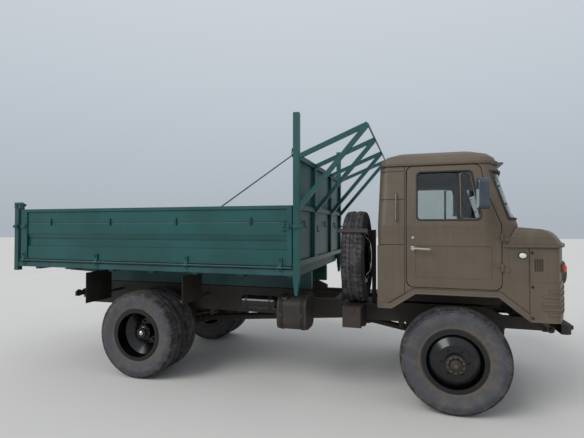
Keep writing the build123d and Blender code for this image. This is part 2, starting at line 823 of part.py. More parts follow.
def cabin_plan(half, rear, side_end, front_side, front_y, front_centre, inset=0):
    """Plan of the cabin: square back with rounded corners and a bowed, round-cornered front."""
    h = half - inset
    back = rear + inset
    corner = max(corner_radius - inset, 20)
    fx = front_side - inset
    fy = front_y - inset
    with BuildSketch() as plan:
        with BuildLine():
            Line((back, h - corner), (back, -(h - corner)))
            TangentArc((back, -(h - corner)), (back + corner, -h), tangent=(0, -1))
            Line((back + corner, -h), (side_end, -h))
            TangentArc((side_end, -h), (fx, -fy), tangent=(1, 0))
            ThreePointArc((fx, -fy), (front_centre - inset, 0), (fx, fy))
            TangentArc((side_end, h), (fx, fy), tangent=(1, 0))
            Line((side_end, h), (back + corner, h))
            TangentArc((back, h - corner), (back + corner, h), tangent=(0, 1))
        make_face()
    return plan.sketch


waist_plan = (cab_half, cab_rear_x, cowl_x, front_axle_x + 530, cab_half - 140, front_axle_x + 600)
gutter_plan = (
    gutter_half, cab_rear_x + 20, front_axle_x + 225, front_axle_x + 375, cab_half - 240, front_axle_x + 450,
)


def greenhouse(inset):
    """The cabin above the waist, drawn in by inset all round."""
    with BuildPart() as house:
        with BuildSketch(Plane.XY.offset(waist_z)):
            add(cabin_plan(*waist_plan, inset))
        with BuildSketch(Plane.XY.offset(gutter_z)):
            add(cabin_plan(*gutter_plan, inset))
        loft(ruled=True)
    return house.part


def cab_hull(inset, bottom_z):
    """The cabin from its lower edge to the gutter, up to the nose seam."""
    with BuildPart() as hull:
        add(greenhouse(inset))
        with BuildSketch(Plane.XY.offset(lid_z)):
            add(cabin_plan(*waist_plan, inset))
        extrude(amount=waist_z - lid_z)
        with Locations((cab_rear_x + inset, 0, bottom_z)):
            Box(
                seam_x - cab_rear_x - inset,
                2 * (cab_half - inset),
                lid_z - bottom_z,
                align=(Align.MIN, Align.CENTER, Align.MIN),
            )
    return hull.part


outer_hull = cab_hull(0, cab_bottom_z)
inner_hull = cab_hull(cab_wall, 0)
door_outline = [
    (door_rear_x, door_bottom_z),
    (door_front_x, door_bottom_z),
    (door_front_x, waist_z),
    (front_axle_x + 267, 2001),
    (front_axle_x + 222, door_top_z),
    (door_rear_x, door_top_z),
]
window_outline = [
    (front_axle_x - 316, 1742),
    (front_axle_x + 228, 1742),
    (front_axle_x + 152, 2185),
    (front_axle_x - 316, 2185),
]
screen_outline = [
    (front_axle_x + 306, 2177),
    (front_axle_x + 440, 1750),
    (front_axle_x + 900, 1750),
    (front_axle_x + 900, 2177),
]


def side_prism(outline, grow, rounding=0, rounded_below=roof_z):
    """A side outline pushed right through the cab, grown by grow, with its corners rounded."""
    with BuildPart() as prism:
        with BuildSketch(Plane.XZ) as face:
            with BuildLine():
                Polyline(outline, close=True)
            make_face()
            if grow:
                offset(amount=grow, kind=Kind.INTERSECTION)
            if rounding:
                fillet(face.vertices().filter_by(lambda corner: corner.Z < rounded_below), rounding)
        extrude(amount=cab_half + 100, both=True)
    return prism.part


def door_leaf_plate(side, reach, bottom_z):
    """Half a door hinge: a leaf on the skin reaching from the pin's line, with its knuckle."""
    with BuildPart() as leaf_plate:
        with Locations((door_front_x + reach / 2, side * (cab_half + 3), bottom_z + door_hinge_height / 2)):
            Box(abs(reach), 6, door_hinge_height)
        with BuildSketch(Plane.XY.offset(bottom_z)):
            with Locations((door_front_x, side * door_hinge_y)):
                Circle(door_knuckle_radius)
        extrude(amount=door_hinge_height)
    return leaf_plate.part


rear_window_half = 420
rear_window_height = 350
rear_window_z = 1965
door_field = (front_axle_x - 330, front_axle_x + 305, 1220, 1512)  # rear, front, foot and top
door_field_depth = 6
with BuildPart() as swages:
    add(outer_hull)
    add(cab_hull(swage, cab_bottom_z), mode=Mode.SUBTRACT)
    with Locations([(cab_rear_x, 0, z) for z in swage_zs]):
        Box(2 * (door_rear_x - cab_rear_x - 20), 3 * cab_half, 2 * swage, mode=Mode.INTERSECT)

with BuildPart() as door_sills:
    add(outer_hull)
    add(inner_hull, mode=Mode.SUBTRACT)
    with Locations(((sill_rear_x + sill_front_x) / 2, 0, (arch_z + door_bottom_z - panel_gap / 2) / 2)):
        Box(
            sill_front_x - sill_rear_x,
            3 * cab_half,
            door_bottom_z - panel_gap / 2 - arch_z,
            mode=Mode.INTERSECT,
        )
save(door_sills.part, "door_sills")

with BuildPart() as cab_shell:
    add(outer_hull)
    add(inner_hull, mode=Mode.SUBTRACT)
    with BuildSketch(Plane.XZ):
        with BuildLine():
            Polyline(
                (cab_rear_x + 130, cab_bottom_z - 200),
                (cab_rear_x + 130, cab_bottom_z),
                (sill_rear_x, arch_z),
                (sill_rear_x, door_bottom_z - panel_gap),
                (sill_front_x, door_bottom_z - panel_gap),
                (sill_front_x, arch_z),
                (seam_x, nose_bottom_z + 10),
                (seam_x, cab_bottom_z - 200),
                close=True,
            )
        make_face()
    extrude(amount=cab_half + 10, both=True, mode=Mode.SUBTRACT)
    add(side_prism(door_outline, panel_gap / 2, door_corner, waist_z - 100), mode=Mode.SUBTRACT)
    with Locations(((sill_rear_x + sill_front_x) / 2, 0, door_bottom_z - panel_gap)):
        Box(sill_front_x - sill_rear_x, 3 * cab_half, 2 * panel_gap, mode=Mode.SUBTRACT)
    add(side_prism(screen_outline, 0), mode=Mode.SUBTRACT)
    add(swages.part, mode=Mode.SUBTRACT)
    for side in (-1, 1):
        with BuildSketch(Plane.XZ.offset(side * (cab_half - nose_recess))):
            with Locations(((nose_step_x + seam_x) / 2 + 20, (nose_step_z + lid_z) / 2)):
                RectangleRounded(seam_x - nose_step_x + 40, lid_z - nose_step_z, 30)
        extrude(amount=side * 20, mode=Mode.SUBTRACT)
    with Locations((cab_rear_x, 0, (tunnel_z + floor_wall) / 2)):
        Box(200, 2 * (tunnel_half + floor_wall), tunnel_z + floor_wall, mode=Mode.SUBTRACT)
    with Locations((cab_rear_x, 0, rear_window_z)):
        Box(200, 2 * rear_window_half, rear_window_height, mode=Mode.SUBTRACT)
    for side in (-1, 1):
        for z in door_hinge_zs:
            add(door_leaf_plate(side, door_leaf, z))
            with BuildSketch(Plane.XY.offset(z)):
                with Locations((door_front_x, side * door_hinge_y)):
                    Circle(door_pin_radius)
            extrude(amount=2 * door_hinge_height)
save(cab_shell.part, "cab_shell")

# Raised bands round the wheel arches
with BuildPart() as arch_bands:
    with BuildSketch(Plane.XZ.offset(cab_half)):
        with BuildLine():
            Polyline(
                (cab_rear_x + 130, cab_bottom_z),
                (sill_rear_x, arch_z),
                (sill_front_x, arch_z),
                (seam_x, nose_bottom_z + 10),
                (seam_x, nose_bottom_z + 10 + 1.25 * arch_band),
                (sill_front_x + 0.35 * arch_band, arch_z + arch_band),
                (sill_rear_x - 0.35 * arch_band, arch_z + arch_band),
                (cab_rear_x + 130 - 0.3 * arch_band, cab_bottom_z + arch_band),
                (cab_rear_x + 10, cab_bottom_z + arch_band),
                (cab_rear_x + 80, cab_bottom_z),
                close=True,
            )
        make_face()
    extrude(amount=arch_band_wall)
    mirror(about=Plane.XZ)
save(arch_bands.part, "arch_bands")

with BuildPart() as door_right:
    add(outer_hull)
    add(inner_hull, mode=Mode.SUBTRACT)
    add(side_prism(door_outline, -panel_gap / 2, door_corner, waist_z - 100), mode=Mode.INTERSECT)
    add(side_prism(window_outline, 0, window_corner), mode=Mode.SUBTRACT)
    with Locations((front_axle_x, cab_half, 0)):
        Box(3000, 2 * cab_half, 6000, mode=Mode.SUBTRACT)
    with BuildSketch(Plane.XZ.offset(cab_half - door_field_depth)):
        with Locations(((door_field[0] + door_field[1]) / 2, (door_field[2] + door_field[3]) / 2)):
            RectangleRounded(door_field[1] - door_field[0], door_field[3] - door_field[2], 30)
    extrude(amount=20, mode=Mode.SUBTRACT)
    with BuildSketch(Plane.XY):
        with Locations((door_front_x, -door_hinge_y)):
            Circle(door_front_x - door_rear_x - panel_gap / 2)
    extrude(amount=roof_z, mode=Mode.INTERSECT)
    for z in door_hinge_zs:
        add(door_leaf_plate(-1, -door_leaf, z + door_hinge_height + seat_gap))
        with BuildSketch(Plane.XY.offset(z)):
            with Locations((door_front_x, -door_hinge_y)):
                Circle(door_pin_radius + seat_gap)
        extrude(amount=3 * door_hinge_height, mode=Mode.SUBTRACT)
save(door_right.part, "door_right")
save(mirrored(door_right.part), "door_left")

glass_shell = greenhouse(glass_inset) - greenhouse(glass_inset + glass_wall)
with BuildPart() as door_glass_right:
    add(glass_shell)
    add(side_prism(window_outline, -seat_gap, window_corner), mode=Mode.INTERSECT)
    with Locations((front_axle_x, cab_half, 0)):
        Box(3000, 2 * cab_half, 6000, mode=Mode.SUBTRACT)
save(door_glass_right.part, "door_glass_right")
save(mirrored(door_glass_right.part), "door_glass_left")

screen_part = glass_shell & side_prism(screen_outline, -seat_gap)
pane_box = Box(200, 2 * (rear_window_half - seat_gap), rear_window_height - 2 * seat_gap)
rear_pane = glass_shell & Pos(cab_rear_x, 0, rear_window_z) * pane_box
save(Part() + [screen_part, rear_pane], "cab_glass")

# Roof: a pressing rounded in steps above the gutter, with a drooping visor over the windscreen
roof_steps = [(gutter_z + 20, 0), (gutter_z + 60, 16), (gutter_z + 100, 60), (roof_z - 20, 150), (roof_z, 290)]


def roof_plan(inset):
    """The gutter's plan drawn in by inset on all four sides."""
    half, rear, side_end, front_side, front_y, front_centre = gutter_plan
    sides = (half - inset, rear + inset, side_end - inset)
    return cabin_plan(*sides, front_side - inset, front_y - inset, front_centre - inset)


visor_tip = 12
with BuildPart() as visor:
    with BuildSketch(Plane.YZ.offset(front_axle_x + 150)):
        with BuildLine():
            for lift in (0, visor_tip):
                ThreePointArc(
                    (-gutter_half + 20, gutter_z - 10 + lift),
                    (0, gutter_z + 50 + lift),
                    (gutter_half - 20, gutter_z - 10 + lift),
                )
            for side in (-1, 1):
                Line(
                    (side * (gutter_half - 20), gutter_z - 10),
                    (side * (gutter_half - 20), gutter_z - 10 + visor_tip),
                )
        make_face()
    extrude(amount=500)
    with BuildSketch(Plane.XY.offset(gutter_z - 100)):
        add(cabin_plan(*gutter_plan[:3], *[size + visor_reach for size in gutter_plan[3:]]))
    extrude(amount=300, mode=Mode.INTERSECT)
    add(greenhouse(-seat_gap), mode=Mode.SUBTRACT)
with BuildPart() as cab_roof:
    with BuildSketch(Plane.XY.offset(gutter_z)):
        add(cabin_plan(*gutter_plan, -14))
    extrude(amount=20)
    add(visor.part)
    for z, inset in roof_steps:
        with BuildSketch(Plane.XY.offset(z)):
            add(roof_plan(inset))
    loft(ruled=True)
    with BuildSketch(Plane.XY.offset(gutter_z)):
        add(roof_plan(30))
    with BuildSketch(Plane.XY.offset(gutter_z + 60)):
        add(roof_plan(46))
    with BuildSketch(Plane.XY.offset(roof_z - 30)):
        add(roof_plan(200))
    loft(ruled=True, mode=Mode.SUBTRACT)
save(cab_roof.part, "cab_roof")


def nose_plan(grow, back_x, pull=0):
    """Plan of the nose: straight sides, tight corners and a bowed front, pulled back by pull."""
    h = cab_half + grow
    sx = nose_corner_x - 55 - pull
    cx = nose_corner_x + grow - pull
    fy = cab_half - 55 + grow
    with BuildSketch() as plan:
        with BuildLine():
            Line((back_x, -h), (sx, -h))
            TangentArc((sx, -h), (cx, -fy), tangent=(1, 0))
            ThreePointArc((cx, -fy), (nose_centre_x + grow - pull, 0), (cx, fy))
            TangentArc((sx, h), (cx, fy), tangent=(1, 0))
            Line((sx, h), (back_x, h))
            Line((back_x, h), (back_x, -h))
        make_face()
    return plan.sketch


# Cab hinge ears, cranked back over the bumper: (forward of the pin, above it)
hinge_ear = [
    (20, 5), (-42, 92), (-30, 112), (40, 170), (95, 185), (95, 260), (0, 240), (-95, 130), (-95, 92), (-30, 5),
]
hinge_ear_y = rail_web_y + 5
hinge_ear_wall = 24
grille_half = 430
grille_bottom_z = 1090
grille_top_z = 1450
headlamp_y = cab_half - 400
headlamp_z = 1270
headlamp_radius = 105
nose_ribs = [(951, 731), (994, 688), (1039, 681), (1098, 689), (1145, 733)]  # height, rear end ahead of the axle
rib_height = 20
rib_wall = 7
rib_inner_y = 0.5 * cab_half
vent_x = front_axle_x + 660
vent_z = 1358
vent_pitch = 14
with BuildPart() as nose_panel:
    with BuildSketch(Plane.XY.offset(nose_bottom_z)):
        add(nose_plan(0, seam_x + seat_gap))
    extrude(amount=nose_step_z - nose_bottom_z)
    with BuildSketch(Plane.XY.offset(nose_step_z)):
        add(nose_plan(-nose_recess, seam_x + seat_gap))
    extrude(amount=lid_z - nose_step_z - 4)
    for z, rear in nose_ribs:
        with BuildSketch(Plane.XY.offset(z - rib_height / 2)):
            add(nose_plan(rib_wall, front_axle_x + rear))
            Rectangle(3 * wheelbase, 2 * rib_inner_y, mode=Mode.SUBTRACT)
        extrude(amount=rib_height)
    with BuildSketch(Plane.XY.offset(nose_bottom_z - 10)):
        add(nose_plan(-nose_wall, seam_x - 10))
    extrude(amount=lid_z, mode=Mode.SUBTRACT)
    with Locations((nose_centre_x, 0, (grille_bottom_z + grille_top_z) / 2)):
        Box(400, 2 * grille_half, grille_top_z - grille_bottom_z, mode=Mode.SUBTRACT)
    with BuildSketch(Plane.YZ.offset(seam_x + 100)):
        with Locations((-headlamp_y, headlamp_z), (headlamp_y, headlamp_z)):
            Circle(headlamp_radius)
    extrude(amount=400, mode=Mode.SUBTRACT)
    with Locations([(vent_x + i * vent_pitch, 0, vent_z) for i in range(-2, 3)]):
        Box(0.5 * vent_pitch, 3 * cab_half, 107, mode=Mode.SUBTRACT)
    for side in (-1, 1):
        with BuildSketch(Plane.XZ.offset(side * hinge_ear_y)):
            with BuildLine():
                px, pz = tilt_pivot
                Polyline([(px + dx, pz + dz) for dx, dz in hinge_ear], close=True)
            make_face()
            with Locations(tilt_pivot):
                Circle(34)
                Circle(hinge_pin_radius + seat_gap, mode=Mode.SUBTRACT)
        extrude(amount=side * hinge_ear_wall)
save(nose_panel.part, "nose_panel")

with BuildPart() as grille:
    with BuildSketch(Plane.XY.offset(grille_bottom_z)):
        add(nose_plan(-8, seam_x))
    extrude(amount=grille_top_z - grille_bottom_z)
    with BuildSketch(Plane.XY.offset(grille_bottom_z - 1)):
        add(nose_plan(-22, seam_x - 10))
    extrude(amount=lid_z, mode=Mode.SUBTRACT)
    with Locations((nose_centre_x, 0, (grille_bottom_z + grille_top_z) / 2)):
        Box(400, 2 * grille_half, grille_top_z - grille_bottom_z, mode=Mode.INTERSECT)
    for i in range(-9, 10):
        with Locations((nose_centre_x, i * 42, (grille_bottom_z + grille_top_z) / 2)):
            Box(400, 24, grille_top_z - grille_bottom_z - 50, mode=Mode.SUBTRACT)
save(grille.part, "grille")

# Bonnet lid: the nose's cap, sloping down from the windscreen
bonnet_steps = [(lid_z + 22, 0, 0), (1556, 3, 14), (1596, 8, 34), (1630, 18, 60), (1662, 36, 100), (1700, 70, 170)]
with BuildPart() as bonnet_lid:
    with BuildSketch(Plane.XY.offset(lid_z)):
        add(nose_plan(14, cowl_x))
    extrude(amount=22)
    for z, inset, pull in bonnet_steps:
        with BuildSketch(Plane.XY.offset(z)):
            add(nose_plan(-inset, cowl_x, pull))
    loft(ruled=True)
    with BuildSketch(Plane.XZ):
        with BuildLine():
            Polyline(
                (cowl_x - 10, waist_z - 4), (nose_centre_x + 100, 1618),
                (nose_centre_x + 100, 1900), (cowl_x - 10, 1900),
                close=True,
            )
        make_face()
    extrude(amount=2000, both=True, mode=Mode.SUBTRACT)
    with BuildSketch(Plane.XY.offset(lid_z - 1)):
        add(nose_plan(-nose_wall, cowl_x - 10))
    extrude(amount=85, mode=Mode.SUBTRACT)
    with BuildSketch(Plane.XY.offset(lid_z - 1)):
        add(cabin_plan(*waist_plan, -panel_gap))
    extrude(amount=400, mode=Mode.SUBTRACT)
save(bonnet_lid.part, "bonnet_lid")

# Floor of the cab with its engine tunnel, toe-board and inner wings
inner_half = cab_half - cab_wall
bulkhead_x = front_axle_x + 430
dash_bottom_z = 1490
dash_top_z = 1680
with BuildPart() as cab_floor:
    for side in (-1, 1):
        floor_mid = side * (tunnel_half + inner_half) / 2
        floor_width = inner_half - tunnel_half
        with Locations(((cab_rear_x + cab_wall + bulkhead_x) / 2, floor_mid, arch_z + floor_wall / 2)):
            Box(bulkhead_x - cab_rear_x - cab_wall, floor_width, floor_wall)
        with Locations((bulkhead_x - 10, floor_mid, (arch_z + lid_z) / 2)):
            Box(20, floor_width, lid_z - arch_z)
        tunnel_mid = (cab_rear_x + bulkhead_x) / 2
        with Locations((tunnel_mid, side * (tunnel_half + floor_wall / 2), (arch_z + tunnel_z) / 2)):
            Box(bulkhead_x - cab_rear_x, floor_wall, tunnel_z - arch_z)
    with Locations(((cab_rear_x + bulkhead_x) / 2, 0, tunnel_z + floor_wall / 2)):
        Box(bulkhead_x - cab_rear_x, 2 * (tunnel_half + floor_wall), floor_wall)
    with Locations((bulkhead_x - 100, 0, (dash_bottom_z + dash_top_z) / 2)):
        Box(200, 2 * (inner_half - 60), dash_top_z - dash_bottom_z)
save(cab_floor.part, "cab_floor")

seat_y = cab_half - 400
with BuildPart() as seats:
    for side in (-1, 1):
        with Locations((front_axle_x - 180, side * seat_y, 1290)):
            Box(480, 480, 120)
        with Locations((front_axle_x - 180, side * seat_y, 1165)):
            Box(400, 400, 134)
        with Locations((front_axle_x - 470, side * seat_y, 1600)):
            Box(110, 480, 520)
        with Locations((front_axle_x - 440, side * seat_y, 1290)):
            Box(60, 400, 120)
save(seats.part, "seats")

wheel_hub = (front_axle_x + 120, seat_y - 80, 1640)
with BuildPart() as steering_wheel:
    with BuildSketch(Plane(origin=wheel_hub, z_dir=(-0.45, 0, 1))):
        Circle(210)
        Circle(186, mode=Mode.SUBTRACT)
        Rectangle(380, 24)
        Circle(40)
    extrude(amount=22)
    with BuildSketch(Plane(origin=wheel_hub, z_dir=(-0.45, 0, 1))):
        Circle(25)
    extrude(amount=-640)
    with Locations((front_axle_x, 0, 1098)):
        Box(3000, 3000, 300, align=(Align.CENTER, Align.CENTER, Align.MAX), mode=Mode.SUBTRACT)
save(steering_wheel.part, "steering_wheel")

with BuildPart() as headlamps:
    with BuildSketch(Plane.YZ.offset(front_axle_x + 870)):
        with Locations((-headlamp_y, headlamp_z), (headlamp_y, headlamp_z)):
            Circle(headlamp_radius - seat_gap)
    extrude(amount=90)
save(headlamps.part, "headlamps")

with BuildPart() as nose_block:
    with BuildSketch(Plane.XY.offset(nose_bottom_z)):
        add(nose_plan(-nose_recess, seam_x))
    extrude(amount=lid_z - nose_bottom_z)

signal_y = cab_half - 170
signal_z = 1326
marker_x = front_axle_x + 538
marker_z = 1438
with BuildPart() as marker_lamps:
    with BuildSketch(Plane.YZ.offset(front_axle_x + 830)):
        with Locations((-signal_y, signal_z), (signal_y, signal_z)):
            Circle(42)
    extrude(amount=95)
    add(nose_block.part, mode=Mode.SUBTRACT)
    for side in (-1, 1):
        with Locations((marker_x, side * (cab_half + 8 - nose_recess), marker_z)):
            Cylinder(36, 16, rotation=(90, 0, 0))
save(marker_lamps.part, "marker_lamps")

mirror_x = front_axle_x + 205
mirror_y = cab_half + 210
mirror_z = 1955
with BuildPart() as mirror_right:
    with Locations((mirror_x, -mirror_y, mirror_z)):
        Box(75, 170, 255)
    fillet(mirror_right.edges().filter_by(Axis.X), 40)
    add(bar((mirror_x, -mirror_y, mirror_z), (mirror_x + 30, -cab_half + 60, mirror_z), 16))
    add(door_right.part, mode=Mode.SUBTRACT)
    with Locations((mirror_x, 0, mirror_z)):
        Box(300, 2 * (cab_half - 45), 400, mode=Mode.SUBTRACT)
save(mirror_right.part, "mirror_right")
save(mirrored(mirror_right.part), "mirror_left")

# Body floor: plate, edge beams, cross-bearers, long sills and tail posts
plate_bottom_z = bed_floor_z - floor_plate
floor_front_x = bed_front_x - post
floor_rear_x = tail_x + 45
floor_half = bed_half - board_wall - 6
lug_y = eye_half + 10
lug_wall = 16
bearer_xs = [bed_front_x - 100 - i * 530 for i in range(7)]
beam_face = bed_half - 6
beam_shelf_z = board_rod_z - 24
with BuildPart() as board_hinges:
    with BuildSketch(Plane.YZ.offset(board_rear_x)):
        with Locations((-board_rod_y, board_rod_z)):
            Circle(rod_radius)
    extrude(amount=board_front_x - board_rear_x)
    for x in hinge_xs:
        with BuildSketch(Plane.YZ.offset(x - hinge_width / 2)):
            with BuildLine():
                Polyline(
                    (-board_rod_y - knuckle_radius, board_rod_z),
                    (-board_rod_y - knuckle_radius, board_rod_z - 10),
                    (-beam_face - 6, beam_shelf_z),
                    (-beam_face - 6, edge_beam_z + 7),
                    (-beam_face, edge_beam_z + 7),
                    (-beam_face, board_rod_z),
                    close=True,
                )
            make_face()
            with Locations((-board_rod_y, board_rod_z)):
                Circle(knuckle_radius)
        extrude(amount=hinge_width)
        with Locations((x, -board_rod_y, board_rod_z)):
            Box(hinge_width / 2 + 2, 60, 2 * knuckle_radius + 20, mode=Mode.SUBTRACT)
        with BuildSketch(Plane.YZ.offset(x - hinge_width / 2)):
            with Locations((-board_rod_y, board_rod_z)):
                Circle(rod_radius)
        extrude(amount=hinge_width)
    mirror(about=Plane.XZ)
with BuildPart() as bed_floor:
    with Locations(((floor_front_x + floor_rear_x) / 2, 0, plate_bottom_z + floor_plate / 2)):
        Box(floor_front_x - floor_rear_x, 2 * floor_half, floor_plate)
    for side in (-1, 1):
        with BuildSketch(Plane.YZ.offset(floor_rear_x)):
            with BuildLine():
                Polyline(
                    (side * (floor_half - 50), plate_bottom_z),
                    (side * floor_half, plate_bottom_z),
                    (side * floor_half, beam_shelf_z),
                    (side * beam_face, beam_shelf_z),
                    (side * beam_face, edge_beam_z),
                    (side * (floor_half - 50), edge_beam_z),
                    close=True,
                )
            make_face()
        extrude(amount=floor_front_x - floor_rear_x)
        with BuildSketch(Plane.XZ.offset(side * (rail_inner_y + 2))):
            with BuildLine():
                tx, tz = tip_pivot
                Polyline(
                    (floor_rear_x, sill_top_z),
                    (floor_rear_x, sill_top_z - 80),
                    (tx - 80, tz + 30),
                    (tx - 50, tz - 45),
                    (tx + 60, sill_z),
                    (bed_front_x - 60, sill_z),
                    (bed_front_x - 60, sill_top_z),
                    close=True,
                )
            make_face()
            with Locations(tip_pivot):
                Circle(tip_pin_radius + seat_gap, mode=Mode.SUBTRACT)
        extrude(amount=side * (rail_flange - 4))
        with Locations((tail_x + 45, side * (bed_half - post / 2), (1160 + tail_post_z) / 2)):
            Box(post, post, tail_post_z - 1160)
        with Locations((tail_x + 45 - post / 2, side * (bed_half + 3), tail_post_z)):
            Box(134, 6, 70, align=(Align.MIN, Align.CENTER, Align.MAX))
        with BuildSketch(Plane.XZ.offset(side * (gate_half - 40))):
            with Locations((tail_x + 30, gate_pin_z)):
                Circle(gate_pin_radius)
        extrude(amount=side * (bed_half - post - gate_half + 50))
    for x in bearer_xs:
        with Locations((x, 0, (sill_top_z + plate_bottom_z) / 2)):
            Box(60, 2 * floor_half - 20, plate_bottom_z - sill_top_z)
    for side in (-1, 1):
        with BuildSketch(Plane.XZ.offset(side * lug_y)):
            with BuildLine():
                ex, ez = hoist_eye
                Polyline(
                    (ex - 150, plate_bottom_z), (ex - 40, ez - 40), (ex + 40, ez - 40), (ex + 80, plate_bottom_z),
                    close=True,
                )
            make_face()
        extrude(amount=side * lug_wall)
    add(board_hinges.part)
save(bed_floor.part, "bed_floor")

# Headboard: sheet, posts, shelf angle, sill and uprights
upright_y = 450
sheet_x = bed_front_x - 35
with BuildPart() as headboard:
    with Locations((sheet_x, 0, (bed_floor_z + headboard_z) / 2)):
        Box(6, 2 * (bed_half - post), headboard_z - bed_floor_z)
    for side in (-1, 1):
        with Locations((bed_front_x - post / 2, side * (bed_half - post / 2), (post_foot_z + post_top_z) / 2)):
            Box(post, post, post_top_z - post_foot_z)
        with BuildSketch(Plane.XZ.offset(-side * (bed_half - post))):
            with BuildLine():
                Polyline(
                    (bed_front_x - post, post_foot_z),
                    (bed_front_x, post_foot_z),
                    (bed_front_x - 0.3 * post, leg_foot_z),
                    (bed_front_x - 0.7 * post, leg_foot_z),
                    close=True,
                )
            make_face()
        extrude(amount=-side * post)
        with Locations((bed_front_x - 17, side * upright_y, (bed_floor_z + headboard_z) / 2)):
            Box(34, 60, headboard_z - bed_floor_z)
        with Locations((bed_front_x - 17, side * upright_y, (bed_floor_z + shelf_z) / 2)):
            Box(34, 96, shelf_z - bed_floor_z)
    for z in (shelf_z, headboard_z - 25, bed_floor_z + 25):
        with Locations((bed_front_x - 20, 0, z)):
            Box(40, 2 * (bed_half - post), 50)
save(headboard.part, "headboard")

# Cab guard: four trusses over the cab and a thin rail across their tips
guard_front_x = front_axle_x - 745
guard_z = 2630
truss_ys = (25 - bed_half, -430, 430, bed_half - 25)
tube = 42
tip_rod = 14
with BuildPart() as cab_guard:
    for y in truss_ys:
        add(bar((bed_front_x - 60, y, headboard_z - 45), (guard_front_x, y, guard_z), tube))
        add(bar((bed_front_x - 60, y, shelf_z - 70), (guard_front_x, y, guard_z), tube))
    guard_half = truss_ys[-1] + tube / 2
    add(bar((guard_front_x, -guard_half, guard_z), (guard_front_x, guard_half, guard_z), tip_rod))
    with Locations((bed_front_x, 0, headboard_z)):
        Box(400, 3000, 2000, align=(Align.MAX, Align.CENTER, Align.CENTER), mode=Mode.SUBTRACT)
save(cab_guard.part, "cab_guard")

# Flat stays from the front posts down to the floor's edges, in the gap beside the side boards
stay_wall = 4
stay_width = 14
stay_top_z = 2400
stay_foot = (front_axle_x - 3200, bed_floor_z - 30)
with BuildPart() as stay_rods:
    with BuildSketch(Plane.XZ.offset(floor_half)):
        with BuildLine():
            foot_x, foot_z = stay_foot
            Polyline(
                (bed_front_x - post, stay_top_z),
                (bed_front_x - post, stay_top_z - stay_width),
                (foot_x + stay_width, foot_z),
                (foot_x - stay_width, foot_z),
                close=True,
            )
        make_face()
    extrude(amount=stay_wall)
    mirror(about=Plane.XZ)
save(stay_rods.part, "stay_rods")

# Side boards: pressed steel with a stepped recess, in (depth, height)
step = [
    (0, 1857),
    (12, 1850),
    (12, 1735),
    (16, 1728),
    (12, 1721),
    (12, 1601),
    (28, 1548),
    (28, 1458),
    (12, 1451),
    (12, 1315),
    (0, 1308),
]
board_foot_z = board_rod_z + 18
with BuildPart() as side_board_right:
    board_mid_x = (board_rear_x + board_front_x) / 2
    with Locations((board_mid_x, -bed_half + board_wall / 2, (board_foot_z + board_top_z) / 2)):
        Box(board_front_x - board_rear_x, board_wall, board_top_z - board_foot_z)
    with BuildSketch(Plane.YZ.offset(rib_rear_x)):
        with BuildLine():
            Polyline([(-(bed_half - depth), z) for depth, z in step], close=True)
        make_face()
    extrude(amount=rib_front_x - rib_rear_x, mode=Mode.SUBTRACT)
    for x in hinge_xs:
        with Locations((x, -bed_half + 6, board_rod_z + 53)):
            Box(hinge_width, 24, 70)
        with BuildSketch(Plane.YZ.offset(x - hinge_width / 4)):
            with BuildLine():
                Polyline(
                    (-board_rod_y - knuckle_radius, board_rod_z),
                    (-bed_half - 6, board_rod_z + 18),
                    (-bed_half + 18, board_rod_z + 18),
                    (-board_rod_y + knuckle_radius, board_rod_z),
                    close=True,
                )
            make_face()
            with Locations((-board_rod_y, board_rod_z)):
                Circle(knuckle_radius)
        extrude(amount=hinge_width / 2)
        with BuildSketch(Plane.YZ.offset(x - hinge_width)):
            with Locations((-board_rod_y, board_rod_z)):
                Circle(rod_radius + seat_gap)
        extrude(amount=2 * hinge_width, mode=Mode.SUBTRACT)
save(side_board_right.part, "side_board_right")
save(mirrored(side_board_right.part), "side_board_left")

# Tailgate, hung from pins in the tail posts
gate_foot_z = 1215
gate_wall = 36
gate_rib = 60
gate_panel = (2 * gate_half - 4 * gate_rib) / 3
with BuildPart() as tailgate:
    with Locations((tail_x + gate_wall / 2, 0, (gate_foot_z + board_top_z) / 2)):
        Box(gate_wall, 2 * gate_half, board_top_z - gate_foot_z)
    gate_mid_z = (gate_foot_z + board_top_z) / 2
    with Locations([(tail_x, i * (gate_panel + gate_rib), gate_mid_z) for i in (-1, 0, 1)]):
        Box(0.7 * gate_wall, gate_panel, board_top_z - gate_foot_z - 2 * gate_rib, mode=Mode.SUBTRACT)
    for side in (-1, 1):
        with Locations((tail_x + 30, side * (gate_half - 15), (board_top_z + gate_pin_z) / 2)):
            Box(60, 30, gate_pin_z + 40 - board_top_z)
        with BuildSketch(Plane.XZ.offset(-side * (gate_half - 50))):
            with Locations((tail_x + 30, gate_pin_z)):
                Circle(gate_pin_radius + seat_gap)
        extrude(amount=-side * 60, mode=Mode.SUBTRACT)
save(tailgate.part, "tailgate")
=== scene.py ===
import json
from math import cos, exp, pi, radians, sin, sqrt, tau

import bmesh
import bpy
from mathutils import Matrix, Vector


